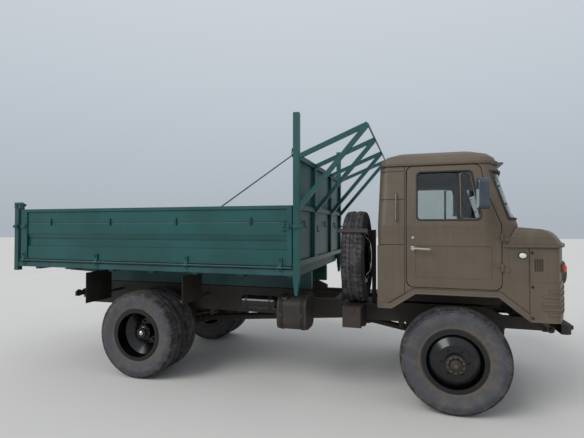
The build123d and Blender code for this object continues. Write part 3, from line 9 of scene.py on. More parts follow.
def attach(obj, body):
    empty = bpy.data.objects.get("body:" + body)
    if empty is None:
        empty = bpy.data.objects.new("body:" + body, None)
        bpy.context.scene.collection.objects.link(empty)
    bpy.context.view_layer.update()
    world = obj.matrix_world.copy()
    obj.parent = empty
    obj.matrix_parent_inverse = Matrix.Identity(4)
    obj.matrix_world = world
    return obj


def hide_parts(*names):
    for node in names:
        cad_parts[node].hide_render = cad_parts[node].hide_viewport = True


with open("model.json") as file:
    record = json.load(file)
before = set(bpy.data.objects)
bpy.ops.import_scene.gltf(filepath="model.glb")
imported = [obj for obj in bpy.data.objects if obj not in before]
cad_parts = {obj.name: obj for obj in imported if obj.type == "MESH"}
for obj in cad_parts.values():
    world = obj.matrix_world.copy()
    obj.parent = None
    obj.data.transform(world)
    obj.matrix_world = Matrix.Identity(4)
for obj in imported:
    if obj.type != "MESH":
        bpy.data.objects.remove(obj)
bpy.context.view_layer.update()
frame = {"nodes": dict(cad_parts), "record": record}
nodes = frame["nodes"]

# Sizes are in millimetres in the frame's own axes, and each finished mesh is scaled to metres.
MM = 0.001
FRONT_X, REAR_X, HUB_Z = 1955, -1345, 480  # the wheels' hubs
FRONT_Y, TWIN_Y, TWIN_STEP = 912.5, 825, 142.5  # the front wheels, the twins, and each twin from their middle
CAB_HALF, BED_HALF = 1040, 1150
SPARE = (1029, -500, 1370)
SIDES = (-1, 1)
HANDS = ((-1, "right"), (1, "left"))


# ---- Materials

def linear(hex_colour):
    """An sRGB hex colour as linear RGBA."""
    channels = [int(hex_colour[i:i + 2], 16) / 255 for i in (1, 3, 5)]
    return [c / 12.92 if c <= 0.04045 else ((c + 0.055) / 1.055) ** 2.4 for c in channels] + [1.0]


def add(tree, kind, feeds=None, **settings):
    """Adds a node with its settings. Each input is fed a value, another node's output, or a node."""
    made = tree.nodes.new("ShaderNode" + kind)
    for name, value in settings.items():
        setattr(made, name, value)
    for socket, source in (feeds or {}).items():
        if isinstance(source, bpy.types.Node):
            source = source.outputs[2 if source.type == "MIX" else 0]
        if isinstance(source, bpy.types.NodeSocket):
            tree.links.new(source, made.inputs[socket])
        else:
            made.inputs[socket].default_value = source
    return made


def new_material(name):
    """An empty node material, its tree, and its texture coordinates."""
    material = bpy.data.materials.new(name)
    material.use_nodes = True
    tree = material.node_tree
    tree.nodes.clear()
    return material, tree, add(tree, "TexCoord")


def surface(tree, feeds):
    """The one shader of a surface, and the material's output."""
    add(tree, "OutputMaterial", {"Surface": add(tree, "BsdfPrincipled", feeds)})


def set_stops(ramp, stops):
    """Gives a colour ramp its stops, as (position, hex colour)."""
    elements = ramp.color_ramp.elements
    for element, (position, colour) in ((elements[0], stops[0]), (elements[1], stops[-1])):
        element.position, element.color = position, linear(colour)
    for position, colour in stops[1:-1]:
        elements.new(position).color = linear(colour)


def painted(name, colour, faded, dust, roughness, runs=0.3, rust=0.0, peel=0.06, settled=0.6, mud=0.0):
    """Alkyd enamel on pressed steel: fading in broad clouds, rain marks down the panels, a brush's
    orange peel about 3 mm wide, dust on what faces up and low down, and rust where it has chipped."""
    material, tree, coords = new_material(name)
    place = coords.outputs["Object"]
    clouds = add(tree, "TexNoise", {"Vector": place, "Scale": 1.8, "Detail": 6.0, "Roughness": 0.62})
    cloud_share = add(tree, "MapRange", {"Value": clouds, "From Min": 0.36, "From Max": 0.66})
    tint = add(tree, "Mix", {0: cloud_share, 6: linear(colour), 7: linear(faded)}, data_type="RGBA")
    drawn = add(tree, "Mapping", {"Vector": place, "Scale": (14.0, 14.0, 0.9)})
    rain = add(tree, "TexNoise", {"Vector": drawn, "Scale": 1.6, "Detail": 5.0, "Roughness": 0.6})
    rain_share = add(tree, "MapRange", {"Value": rain, "From Min": 0.5, "From Max": 0.78, "To Max": runs})
    washed = add(tree, "Mix", {0: rain_share, 6: tint, 7: linear(dust)}, data_type="RGBA")
    facing = add(tree, "SeparateXYZ", {"Vector": coords.outputs["Normal"]})
    upward = add(tree, "MapRange", {"Value": facing.outputs["Z"], "From Min": 0.25, "From Max": 0.95,
                                    "To Max": settled})
    patchy = add(tree, "TexNoise", {"Vector": place, "Scale": 9.0, "Detail": 5.0})
    dust_share = add(tree, "Math", {0: upward, 1: patchy}, operation="MULTIPLY")
    height = add(tree, "SeparateXYZ", {"Vector": place})
    low = add(tree, "MapRange", {"Value": height.outputs["Z"], "From Min": 1.35, "From Max": 0.55,
                                 "To Max": mud})
    splash = add(tree, "Math", {0: low, 1: patchy}, operation="MULTIPLY")
    grime = add(tree, "Math", {0: dust_share, 1: splash}, operation="MAXIMUM")
    dusty = add(tree, "Mix", {0: grime, 6: washed, 7: linear(dust)}, data_type="RGBA")
    chips = add(tree, "TexNoise", {"Vector": place, "Scale": 7.0, "Detail": 9.0, "Roughness": 0.72})
    chip_share = add(tree, "MapRange", {"Value": chips, "From Min": 0.68 - 0.2 * rust,
                                        "From Max": 0.74 - 0.16 * rust})
    rusty = add(tree, "Mix", {0: chip_share, 6: dusty, 7: linear("#40291D")}, data_type="RGBA")
    brushed = add(tree, "TexNoise", {"Vector": place, "Scale": 330.0, "Detail": 2.0})
    bump = add(tree, "Bump", {"Height": brushed, "Strength": peel, "Distance": 0.001})
    dull = add(tree, "MapRange", {"Value": grime, "To Min": roughness, "To Max": min(1.0, roughness + 0.35)})
    worn = add(tree, "Math", {0: chip_share, 1: dull, 2: 0.2}, operation="MULTIPLY_ADD")
    rough = add(tree, "Math", {0: dull, 1: worn}, operation="MAXIMUM")
    surface(tree, {"Base Color": rusty, "Roughness": rough, "Normal": bump, "IOR": 1.5})
    return material


def tyre_rubber():
    """Carbon-black rubber, weathered: grey-blue bloom on the walls and brown road dust round the bead, with
    painted shade darkening the grooves. The mesh's own attribute says how far a point is from the axle, in
    metres."""
    material, tree, coords = new_material("weathered_tyre_rubber")
    place = coords.outputs["Object"]
    reach = add(tree, "Attribute", attribute_name="from_axle").outputs["Fac"]
    cloud = add(tree, "TexNoise", {"Vector": place, "Scale": 14.0, "Detail": 7.0, "Roughness": 0.65})
    ragged = add(tree, "Math", {0: cloud, 1: 0.07, 2: reach}, operation="MULTIPLY_ADD")
    bands = add(tree, "ValToRGB", {"Fac": ragged})
    # The darkest stops, at the grooves' floor, are painted shade in the grooves
    set_stops(bands, [(0.285, "#1F1D1C"), (0.318, "#5E554C"), (0.352, "#4E4B4A"), (0.43, "#44464E"),
                      (0.475, "#3D3D43"), (0.496, "#19191B"), (0.507, "#252427"), (0.516, "#434348")])
    smears = add(tree, "TexNoise", {"Vector": place, "Scale": 11.0, "Detail": 9.0, "Roughness": 0.72})
    smear_share = add(tree, "MapRange", {"Value": smears, "From Min": 0.46, "From Max": 0.66,
                                         "To Max": 0.75})
    dusty = add(tree, "Mix", {0: smear_share, 6: bands, 7: linear("#625B52")}, data_type="RGBA")
    grain = add(tree, "TexNoise", {"Vector": place, "Scale": 420.0, "Detail": 3.0})
    bump = add(tree, "Bump", {"Height": grain, "Strength": 0.25, "Distance": 0.0008})
    surface(tree, {"Base Color": dusty, "Normal": bump, "Roughness": 0.86, "IOR": 1.52})
    return material


def rubber(name, colour, roughness=0.6):
    """Moulded weather rubber: black gone grey in patches, with a fine moulded grain."""
    material, tree, coords = new_material(name)
    place = coords.outputs["Object"]
    bloom = add(tree, "TexNoise", {"Vector": place, "Scale": 22.0, "Detail": 5.0})
    tint = add(tree, "Mix", {0: bloom, 6: linear(colour), 7: linear("#2E2D2C")}, data_type="RGBA")
    grain = add(tree, "TexNoise", {"Vector": place, "Scale": 700.0})
    bump = add(tree, "Bump", {"Height": grain, "Strength": 0.12, "Distance": 0.0005})
    surface(tree, {"Base Color": tint, "Normal": bump, "Roughness": roughness, "IOR": 1.52})
    return material


def metal(name, colour, tarnish, roughness, spots=0.6, scratches=0.15):
    """Worked metal: a bright ground, tarnish in spots about 20 mm wide, and fine scratches."""
    material, tree, coords = new_material(name)
    place = coords.outputs["Object"]
    spot = add(tree, "TexNoise", {"Vector": place, "Scale": 46.0, "Detail": 7.0, "Roughness": 0.7})
    share = add(tree, "MapRange", {"Value": spot, "From Min": 0.74 - 0.25 * spots, "From Max": 0.8})
    tint = add(tree, "Mix", {0: share, 6: linear(colour), 7: linear(tarnish)}, data_type="RGBA")
    rough = add(tree, "MapRange", {"Value": share, "To Min": roughness,
                                   "To Max": min(1.0, roughness + 0.4)})
    lines = add(tree, "TexNoise", {"Vector": place, "Scale": 600.0, "Detail": 2.0})
    bump = add(tree, "Bump", {"Height": lines, "Strength": scratches, "Distance": 0.0004})
    shine = add(tree, "MapRange", {"Value": share, "To Min": 1.0, "To Max": 0.25})
    surface(tree, {"Base Color": tint, "Roughness": rough, "Metallic": shine, "Normal": bump})
    return material


def rusted(name):
    """Hot-rolled steel left bare: orange and brown scale in flakes about 40 mm wide, matt and pitted."""
    material, tree, coords = new_material(name)
    flakes = add(tree, "TexNoise", {"Vector": coords.outputs["Object"], "Scale": 26.0, "Detail": 9.0,
                                    "Roughness": 0.75})
    scale = add(tree, "ValToRGB", {"Fac": flakes})
    set_stops(scale, [(0.34, "#33241D"), (0.52, "#54351F"), (0.7, "#7A4A2C")])
    bump = add(tree, "Bump", {"Height": flakes, "Strength": 0.5, "Distance": 0.0015})
    surface(tree, {"Base Color": scale, "Normal": bump, "Roughness": 0.88})
    return material


def glass(name, colour, haze=0.02, ribs=0.0):
    """Soda-lime sheet or pressed glass: clear, faintly tinted, filmed by dust, ribbed where it is a lens."""
    material, tree, coords = new_material(name)
    place = coords.outputs["Object"]
    film = add(tree, "TexNoise", {"Vector": place, "Scale": 5.0, "Detail": 7.0, "Roughness": 0.7})
    rough = add(tree, "MapRange", {"Value": film, "From Min": 0.45, "From Max": 0.8, "To Min": haze,
                                   "To Max": haze + 0.1})
    tint = add(tree, "Mix", {0: film, 6: linear(colour), 7: linear("#E9EDEA")}, data_type="RGBA")
    wave = add(tree, "TexWave", {"Vector": place, "Scale": 24.0, "Distortion": 0.0}, bands_direction="Y")
    bump = add(tree, "Bump", {"Height": wave.outputs["Fac"], "Strength": ribs, "Distance": 0.002})
    surface(tree, {"Base Color": tint, "Roughness": rough, "Normal": bump, "Transmission Weight": 1.0,
                   "IOR": 1.5})
    return material


def plastic(name, colour, worn, roughness, grain=0.12):
    """Moulded plastic: a mould grain of 1.6 mm, rubbed lighter and duller in patches."""
    material, tree, coords = new_material(name)
    place = coords.outputs["Object"]
    rubbed = add(tree, "TexNoise", {"Vector": place, "Scale": 12.0, "Detail": 6.0})
    share = add(tree, "MapRange", {"Value": rubbed, "From Min": 0.45, "From Max": 0.75})
    tint = add(tree, "Mix", {0: share, 6: linear(colour), 7: linear(worn)}, data_type="RGBA")
    rough = add(tree, "MapRange", {"Value": share, "To Min": roughness,
                                   "To Max": min(1.0, roughness + 0.2)})
    pores = add(tree, "TexVoronoi", {"Vector": place, "Scale": 625.0})
    bump = add(tree, "Bump", {"Height": pores, "Strength": grain, "Distance": 0.0004})
    surface(tree, {"Base Color": tint, "Roughness": rough, "Normal": bump, "IOR": 1.5})
    return material


def leathercloth():
    """Vinyl-coated cloth: pebbled grain, drawn 3 mm wide so that it shows, creases, and a greasy sheen
    where it is worn."""
    material, tree, coords = new_material("brown_leathercloth")
    place = coords.outputs["Object"]
    worn = add(tree, "TexNoise", {"Vector": place, "Scale": 7.0, "Detail": 6.0, "Roughness": 0.6})
    share = add(tree, "MapRange", {"Value": worn, "From Min": 0.42, "From Max": 0.68})
    tint = add(tree, "Mix", {0: share, 6: linear("#33271E"), 7: linear("#4E3D32")}, data_type="RGBA")
    rough = add(tree, "MapRange", {"Value": share, "To Min": 0.62, "To Max": 0.42})
    pebbles = add(tree, "TexVoronoi", {"Vector": place, "Scale": 330.0}, feature="SMOOTH_F1")
    creases = add(tree, "TexNoise", {"Vector": place, "Scale": 30.0, "Detail": 5.0, "Distortion": 1.5})
    relief = add(tree, "Math", {0: pebbles, 1: 0.35, 2: creases}, operation="MULTIPLY_ADD")
    bump = add(tree, "Bump", {"Height": relief, "Strength": 0.35, "Distance": 0.0015})
    surface(tree, {"Base Color": tint, "Roughness": rough, "Normal": bump, "IOR": 1.5})
    return material


looks = {
    "cab_paint": painted("olive_alkyd_enamel", "#54493B", "#605445", "#766A5A", 0.48, runs=0.2, rust=0.02,
                         settled=0.3, mud=0.35),
    "body_paint": painted("green_alkyd_enamel", "#074341", "#0B4F4E", "#36585A", 0.4, runs=0.08,
                          settled=0.4, mud=0.15),
    "bed_floor_paint": painted("scuffed_green_enamel", "#123F40", "#1E5254", "#4E5A55", 0.5, runs=0.1,
                               rust=0.5, settled=0.8),
    "chassis_black": painted("black_chassis_enamel", "#1B1918", "#27211D", "#4C4237", 0.55, runs=0.2,
                             rust=0.5, settled=0.9, mud=0.6, peel=0.15),
    "gloss_black": painted("gloss_black_enamel", "#050608", "#08090B", "#2A2725", 0.08, runs=0.02,
                           settled=0.2, mud=0.06, peel=0.02),
    "engine_metal": metal("oily_cast_iron", "#3B3733", "#2A2320", 0.55, spots=0.9, scratches=0.5),
    "rusty_steel": rusted("scaled_exhaust_steel"),
    "ram_steel": metal("ground_ram_steel", "#B9B8B4", "#7B7468", 0.2, spots=0.2),
    "tyre_rubber": tyre_rubber(),
    "window_glass": glass("soda_lime_sheet_glass", "#D3DDD8"),
    "headlamp_glass": glass("fluted_lamp_glass", "#F1F4F4", ribs=0.6),
    "lamp_lens": plastic("orange_lamp_acrylic", "#C7401C", "#D9552B", 0.18, grain=0.02),
    "mirror_housing": plastic("blue_grey_mirror_moulding", "#353B47", "#444A55", 0.42),
    "trim_leather": leathercloth(),
    "control_plastic": plastic("black_carbolite", "#0F0F10", "#1D1C1B", 0.25, grain=0.04),
    "seal": rubber("black_seal_rubber", "#121212"),
    # Dark rubber for the seam sealer and the insect screen, also painting the shade along the swages and
    # gutter
    "sealer_and_shade": rubber("dark_seam_sealer_and_painted_shade", "#241F19", 0.8),
    "mat": rubber("ribbed_mat_rubber", "#1A1918", 0.8),
    "bright": metal("dull_nickel_plate", "#C9C6BE", "#7E766A", 0.18, spots=0.35),
    "bolt_steel": metal("zinced_bolt_steel", "#6E675D", "#4A3426", 0.42, spots=1.0, scratches=0.3),
    "mirror_glass": metal("silvered_mirror_glass", "#DDE2E4", "#BFC5C6", 0.03, spots=0.0, scratches=0.0),
    "white_lens": plastic("white_lamp_acrylic", "#D9D9D2", "#C9C8BF", 0.2, grain=0.02),
    "red_lens": plastic("red_lamp_acrylic", "#8C1511", "#A4251D", 0.18, grain=0.02),
    "dial": plastic("dial_face_enamel", "#16181A", "#202224", 0.35, grain=0.0),
    # Dark green that paints the shade in the side boards' creases and rope recesses, also used on their hinge
    # bolts
    "shade_paint": painted("painted_shade_green_enamel", "#072C2F", "#0B3437", "#26403F", 0.6, rust=0.2),
    "worn_grip": metal("rubbed_grip_steel", "#7B736B", "#4A3C32", 0.4, spots=0.9),
}
for row in frame["record"]["subparts"]:
    mesh = nodes[row["node"]].data
    mesh.materials.clear()
    mesh.materials.append(looks["bed_floor_paint" if row["node"] == "bed_floor" else row["material_slot"]])


# ---- Shaping, in millimetres

def piece(name, bm, look, body, bevel=0.0, angle=35, stands_for=()):
    """A finished piece: its mesh in metres, its finish, its rounded edges, and the body that it rides on."""
    bmesh.ops.recalc_face_normals(bm, faces=bm.faces)
    bmesh.ops.scale(bm, vec=(MM, MM, MM), verts=bm.verts)
    mesh = pattern(bm, name)
    mesh.materials.append(looks[look])
    mesh.shade_smooth()
    mesh.set_sharp_from_angle(angle=radians(angle))
    made = bpy.data.objects.new(name, mesh)
    bpy.context.scene.collection.objects.link(made)
    if bevel:
        rounding = made.modifiers.new("rounded_edges", "BEVEL")
        rounding.width = bevel * MM
        rounding.segments = 2
        rounding.limit_method = "ANGLE"
        rounding.angle_limit = radians(40)
    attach(made, body)
    if stands_for:
        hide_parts(*stands_for)


def pattern(bm, name="pattern"):
    """A mesh of its own, kept to be stamped or shown."""
    mesh = bpy.data.meshes.new(name)
    bm.to_mesh(mesh)
    bm.free()
    return mesh


def stamp(bm, shape, place):
    """Adds a copy of a kept pattern at a place."""
    earlier = set(bm.verts)
    bm.from_mesh(shape)
    bmesh.ops.transform(bm, matrix=place, verts=[v for v in bm.verts if v not in earlier])


def block(bm, low, high):
    """A block between two corners."""
    low, high = Vector(low), Vector(high)
    size = Matrix.Diagonal((*(high - low), 1))
    bmesh.ops.create_cube(bm, size=1, matrix=Matrix.Translation((low + high) / 2) @ size)


def standing(place, normal):
    """The matrix that stands a shape drawn up Z on a surface at a place."""
    return Matrix.Translation(place) @ Vector(normal).to_track_quat("Z", "Y").to_matrix().to_4x4()


def disc(bm, place, normal, radius, height, top=None, sides=20):
    """A round boss on a surface, narrowing to top."""
    at = standing(place, normal) @ Matrix.Translation((0, 0, height / 2))
    bmesh.ops.create_cone(bm, cap_ends=True, segments=sides, radius1=radius,
                          radius2=radius if top is None else top, depth=height, matrix=at)


def bolt(bm, place, normal, size=17):
    """A hexagon-headed bolt on its washer; size is across the head's flats."""
    place, normal = Vector(place), Vector(normal).normalized()
    disc(bm, place - 0.5 * normal, normal, 0.8 * size, 0.15 * size + 0.5, sides=12)
    disc(bm, place + 0.15 * size * normal, normal, 0.58 * size, 0.6 * size, 0.53 * size, sides=6)


def bolt_ring(bm, centre, out, count, radius, size, turn=0.0):
    """Bolts in a ring about a hub, the first turned on by a share of their spacing."""
    for i in range(count):
        a = tau * (i + turn) / count
        bolt(bm, centre + radius * Vector((cos(a), 0, sin(a))), out, size)


def rod(bm, points, radius, sides=10):
    """A round rod along points, mitred at its bends; one that ends where it starts is a ring."""
    points = [Vector(p) for p in points]
    runs = [(b - a).normalized() for a, b in zip(points, points[1:])]
    looped = (points[0] - points[-1]).length < 0.01
    ends = ((runs[-1] + runs[0]).normalized(),) * 2 if looped else (runs[0], runs[-1])
    facings = [ends[0]] + [(a + b).normalized() for a, b in zip(runs, runs[1:])] + [ends[1]]
    ring = bmesh.ops.create_circle(bm, cap_ends=False, segments=sides, radius=radius,
                                   matrix=standing(points[0], runs[0]))["verts"]
    for v in ring:
        v.co += runs[0] * (points[0] - v.co).dot(facings[0]) / runs[0].dot(facings[0])
    edges = list({e for v in ring for e in v.link_edges})
    bmesh.ops.edgeloop_fill(bm, edges=edges)
    for point, run, facing in zip(points[1:], runs, facings[1:]):
        made = bmesh.ops.extrude_edge_only(bm, edges=edges)["geom"]
        ring = [g for g in made if isinstance(g, bmesh.types.BMVert)]
        edges = [g for g in made if isinstance(g, bmesh.types.BMEdge) and g.is_boundary]
        for v in ring:
            v.co += run * (point - v.co).dot(facing) / run.dot(facing)
    bmesh.ops.edgeloop_fill(bm, edges=edges)


def hoop(bm, points, radius, sides=8):
    """A rod that closes on itself."""
    points = list(points)
    rod(bm, points + points[:1], radius, sides)


def plate(bm, outline, thin, low, high):
    """A flat plate cut to an outline, thin along one axis (0 X, 1 Y, 2 Z) from low to high."""
    verts = []
    for u, v in outline:
        spot = [u, v]
        spot.insert(thin, low)
        verts.append(bm.verts.new(spot))
    grown = bmesh.ops.extrude_face_region(bm, geom=[bm.faces.new(verts)])["geom"]
    step = Vector([high - low if axis == thin else 0 for axis in range(3)])
    bmesh.ops.translate(bm, vec=step, verts=[g for g in grown if isinstance(g, bmesh.types.BMVert)])


def rounded(outline, radius, steps=4):
    """An outline with its corners rounded."""
    made = []
    corners = [Vector(p) for p in outline]
    for before, corner, after in zip([corners[-1]] + corners[:-1], corners, corners[1:] + [corners[0]]):
        back, on = (before - corner).normalized(), (after - corner).normalized()
        half_turn = back.angle(on) / 2
        cut = radius / sin(half_turn) * cos(half_turn)
        centre = corner + (back + on).normalized() * radius / sin(half_turn)
        start, end = corner + back * cut - centre, corner + on * cut - centre
        made += [centre + (start * (1 - i / steps) + end * i / steps).normalized() * radius
                 for i in range(steps + 1)]
    return made


def panel(u0, v0, u1, v1, radius, steps=4):
    """The outline of a rounded rectangle."""
    return rounded([(u0, v0), (u1, v0), (u1, v1), (u0, v1)], radius, steps)


def turned(bm, outline, base, axis, steps=32, closed=False):
    """A form turned about an axis through base, from an outline of (along the axis, out from it)."""
    axis, base = Vector(axis).normalized(), Vector(base)
    out = axis.orthogonal().normalized()
    earlier = set(bm.verts)
    verts = [bm.verts.new(base + axis * along + out * reach) for along, reach in outline]
    edges = [bm.edges.new(pair) for pair in zip(verts, verts[1:] + ([verts[0]] if closed else []))]
    bmesh.ops.spin(bm, geom=verts + edges, cent=base, axis=axis, angle=tau, steps=steps, use_merge=True)
    poles = [v for v in bm.verts if v not in earlier and (v.co - base).cross(axis).length < 0.01]
    if poles:
        bmesh.ops.remove_doubles(bm, verts=poles, dist=0.01)


def oval(bm, outline, side, spot, squash, steps=32):
    """A form turned about Y and squashed to an oval, on a side face."""
    dome = bmesh.new()
    turned(dome, outline, (0, 0, 0), (0, side, 0), steps)
    stamp(bm, pattern(dome), Matrix.Translation(spot) @ Matrix.Diagonal((*squash, 1)))


# ---- Tyres: ribbed walls and a worn tread of staggered blocks in five rows and two shoulders

BLOCKS = 62  # round the tread, 49 mm apart
GROOVE = 3.6  # half a groove's width
WALL = [(84, 256), (84, 281), (87, 288), (95, 293), (100, 300), (99, 307), (107, 330), (114, 360),
        (116.5, 385), (117.4, 393), (117.4, 401), (115, 406), (113, 420), (105, 438)]
TREAD = [(93.5, 461), (56, 468.5), (19, 471)]  # the grooves' floor, from shoulder to middle


def tyre():
    """One tyre about the Y axis at the origin."""
    bm = bmesh.new()
    from_axle = bm.verts.layers.float.new("from_axle")
    half = WALL + TREAD
    turned(bm, half + [(-across, reach) for across, reach in reversed(half)], (0, 0, 0), (0, 1, 0),
           BLOCKS, True)
    lean = 0.2 * tau / BLOCKS
    for v in bm.verts:
        row = {56: 1, 19: -1, -19: 1, -56: -1}.get(round(v.co.y))
        if row and v.co.xz.length > 460:
            v.co = Matrix.Rotation(row * lean, 3, "Y") @ v.co
    for low, high, depth in ((0, 94, 9), (94, 106, 6)):
        rows = [f for f in bm.faces
                if low < abs(f.calc_center_median().y) < high and f.calc_center_median().xz.length > 440]
        bmesh.ops.recalc_face_normals(bm, faces=bm.faces)
        bmesh.ops.inset_individual(bm, faces=rows, thickness=GROOVE, depth=depth)
    for v in bm.verts:
        v[from_axle] = v.co.xz.length * MM
    return pattern(bm)


tyre_mesh = tyre()
for start, x, ys in (("tyre_front_", FRONT_X, [FRONT_Y]),
                     ("tyres_rear_", REAR_X, [TWIN_Y + TWIN_STEP, TWIN_Y - TWIN_STEP])):
    for side, hand in HANDS:
        bm = bmesh.new()
        for y in ys:
            stamp(bm, tyre_mesh, Matrix.Translation((x, side * y, HUB_Z)))
        body = start.replace("tyre", "wheel") + hand
        piece("treaded_" + start + hand, bm, "tyre_rubber", body, angle=28, stands_for=[start + hand])

# The spare's tyre, and its rim and disc
bm = bmesh.new()
stamp(bm, tyre_mesh, Matrix.Translation(SPARE) @ Matrix.Rotation(pi / 2, 4, "Z"))
piece("spare_tyre", bm, "tyre_rubber", "chassis", angle=28, stands_for=["spare_wheel"])
bm = bmesh.new()
for section in ([(-95, 282), (-85, 282), (-85, 254), (85, 254), (85, 282), (95, 282), (95, 244), (-95, 244)],
                [(60, 244), (128, 160), (134, 140), (134, 80), (122, 80), (122, 136), (116, 152), (46, 244)]):
    turned(bm, section, SPARE, (1, 0, 0), 64, True)
piece("spare_rim", bm, "gloss_black", "chassis", bevel=2)

# Wheel nuts, hub flanges and caps
for side, hand in HANDS:
    out = Vector((0, side, 0))
    hub, body = Vector((FRONT_X, side * FRONT_Y, HUB_Z)), "wheel_front_" + hand
    nuts, flange, bolts = bmesh.new(), bmesh.new(), bmesh.new()
    bolt_ring(nuts, hub + 134 * out, out, 6, 111, 24)
    turned(flange, [(160, 0), (160, 80), (174, 80), (176, 76), (176, 50), (200, 46), (208, 34), (210, 0)],
           hub, out)
    bolt_ring(bolts, hub + 175 * out, out, 10, 66, 16, 0.5)
    disc(bolts, hub + 208 * out, out, 20, 6, 17)
    piece("wheel_nuts_front_" + hand, nuts, "gloss_black", body)
    piece("hub_flange_front_" + hand, flange, "chassis_black", body, bevel=1)
    piece("hub_bolts_front_" + hand, bolts, "bolt_steel", body)
    hub, body = Vector((REAR_X, side * TWIN_Y, HUB_Z)), "wheels_rear_" + hand
    nuts, cap = bmesh.new(), bmesh.new()
    bolt_ring(nuts, hub + 12 * out, out, 6, 115, 27)
    bolt_ring(nuts, hub + 110 * out, out, 10, 73, 14, 0.5)
    turned(cap, [(150, 0), (150, 30), (155, 30), (161, 27), (168, 16), (170, 0)], hub, out)
    turned(nuts, [(116, 0), (116, 68), (124, 68), (128, 60), (152, 56), (154, 0)], hub, out)
    piece("wheel_nuts_rear_" + hand, nuts, "gloss_black", body)
    piece("hub_cap_rear_" + hand, cap, "bright", body)


# ---- Cab: seals, glazing bars, handles, lamps and bolts

# Heights at which the cab's sides start to lean in, and where they meet the roof
WAIST_Z, GUTTER_Z = 1697, 2250
DOOR = [(1545, 1136), (2335, 1136), (2335, 1697), (2222, 2001), (2177, 2243), (1545, 2243)]
WINDOW = [(1639, 1742), (2183, 1742), (2107, 2185), (1639, 2185)]
QUARTER_LIGHT = [(2012, 1753), (2168, 1753), (2096, 2174), (2012, 2174)]
SCREEN_LOW, SCREEN_HIGH = (2396, 1752), (2262, 2175)  # the screen's ends on the side, as X and Z


def rise(z):
    """How far up from the waist to the gutter a height is, as a share."""
    return max(0, z - WAIST_Z) / (GUTTER_Z - WAIST_Z)


def side_y(z):
    """How far out the cab's side stands at a height."""
    return CAB_HALF - 78 * rise(z)


def post_x(z):
    """Where the screen ends on the side at a height."""
    (low_x, low_z), (high_x, high_z) = SCREEN_LOW, SCREEN_HIGH
    return low_x + (high_x - low_x) * (z - low_z) / (high_z - low_z)


def screen_point(z, y=None, x=None, proud=0.0):
    """A point of the cab's front at a height: over y on the bow, or over x on the right-hand corner."""
    t = rise(z)
    half, side_end, corner_x = CAB_HALF - 78 * t, 2339 - 159 * t, 2485 - 155 * t
    corner_y, middle_x = 900 - 100 * t, 2555 - 150 * t
    if x is not None and x < corner_x:
        dx, dy = corner_x - side_end, half - corner_y
        radius = (dx * dx + dy * dy) / (2 * dy)
        a = min(1.0, max(0.0, (x - side_end) / radius))
        level = sqrt(1 - a * a)
        return Vector((x + proud * a, -(half - radius * (1 - level)) - proud * level, z))
    sagitta = middle_x - corner_x
    radius = (corner_y * corner_y + sagitta * sagitta) / (2 * sagitta)
    y = -corner_y if y is None else y
    return Vector((middle_x - radius + sqrt(radius * radius - y * y) + proud, y, z))


def mirrored(points):
    """The same points on the other side."""
    return [Vector((p.x, -p.y, p.z)) for p in points]


def screen_edge(rear_x, z, proud):
    """The screen's edge along one height, from the right side round the front to the left side."""
    t = rise(z)
    corner_x, corner_y = 2485 - 155 * t, 900 - 100 * t
    right = [screen_point(z, x=rear_x + (corner_x - 1 - rear_x) * i / 5, proud=proud) for i in range(6)]
    front = [screen_point(z, y=-corner_y + 2 * corner_y * i / 12, proud=proud) for i in range(1, 12)]
    return right + front + mirrored(reversed(right))


bm = bmesh.new()
foot, head = screen_edge(*SCREEN_LOW, 2), screen_edge(*SCREEN_HIGH, 2)
upright = [screen_point(z, x=post_x(z), proud=2) for z in (1860, 1965, 2070)]
hoop(bm, foot + mirrored(upright) + list(reversed(head)) + list(reversed(upright)), 11)
hoop(bm, [(1286 + 20 * rise(z), y, z) for y, z in panel(-424, 1786, 424, 2144, 60, 5)], 11)
piece("windscreen_rubbers", bm, "seal", "cab", angle=60)


def skirting(bm, outline, corner, inset, radius, side):
    """A rod round an outline on the cab's leaning side, inset from the skin."""
    hoop(bm, [(x, side * (side_y(z) - inset), z) for x, z in rounded(outline, corner, 5)], radius)


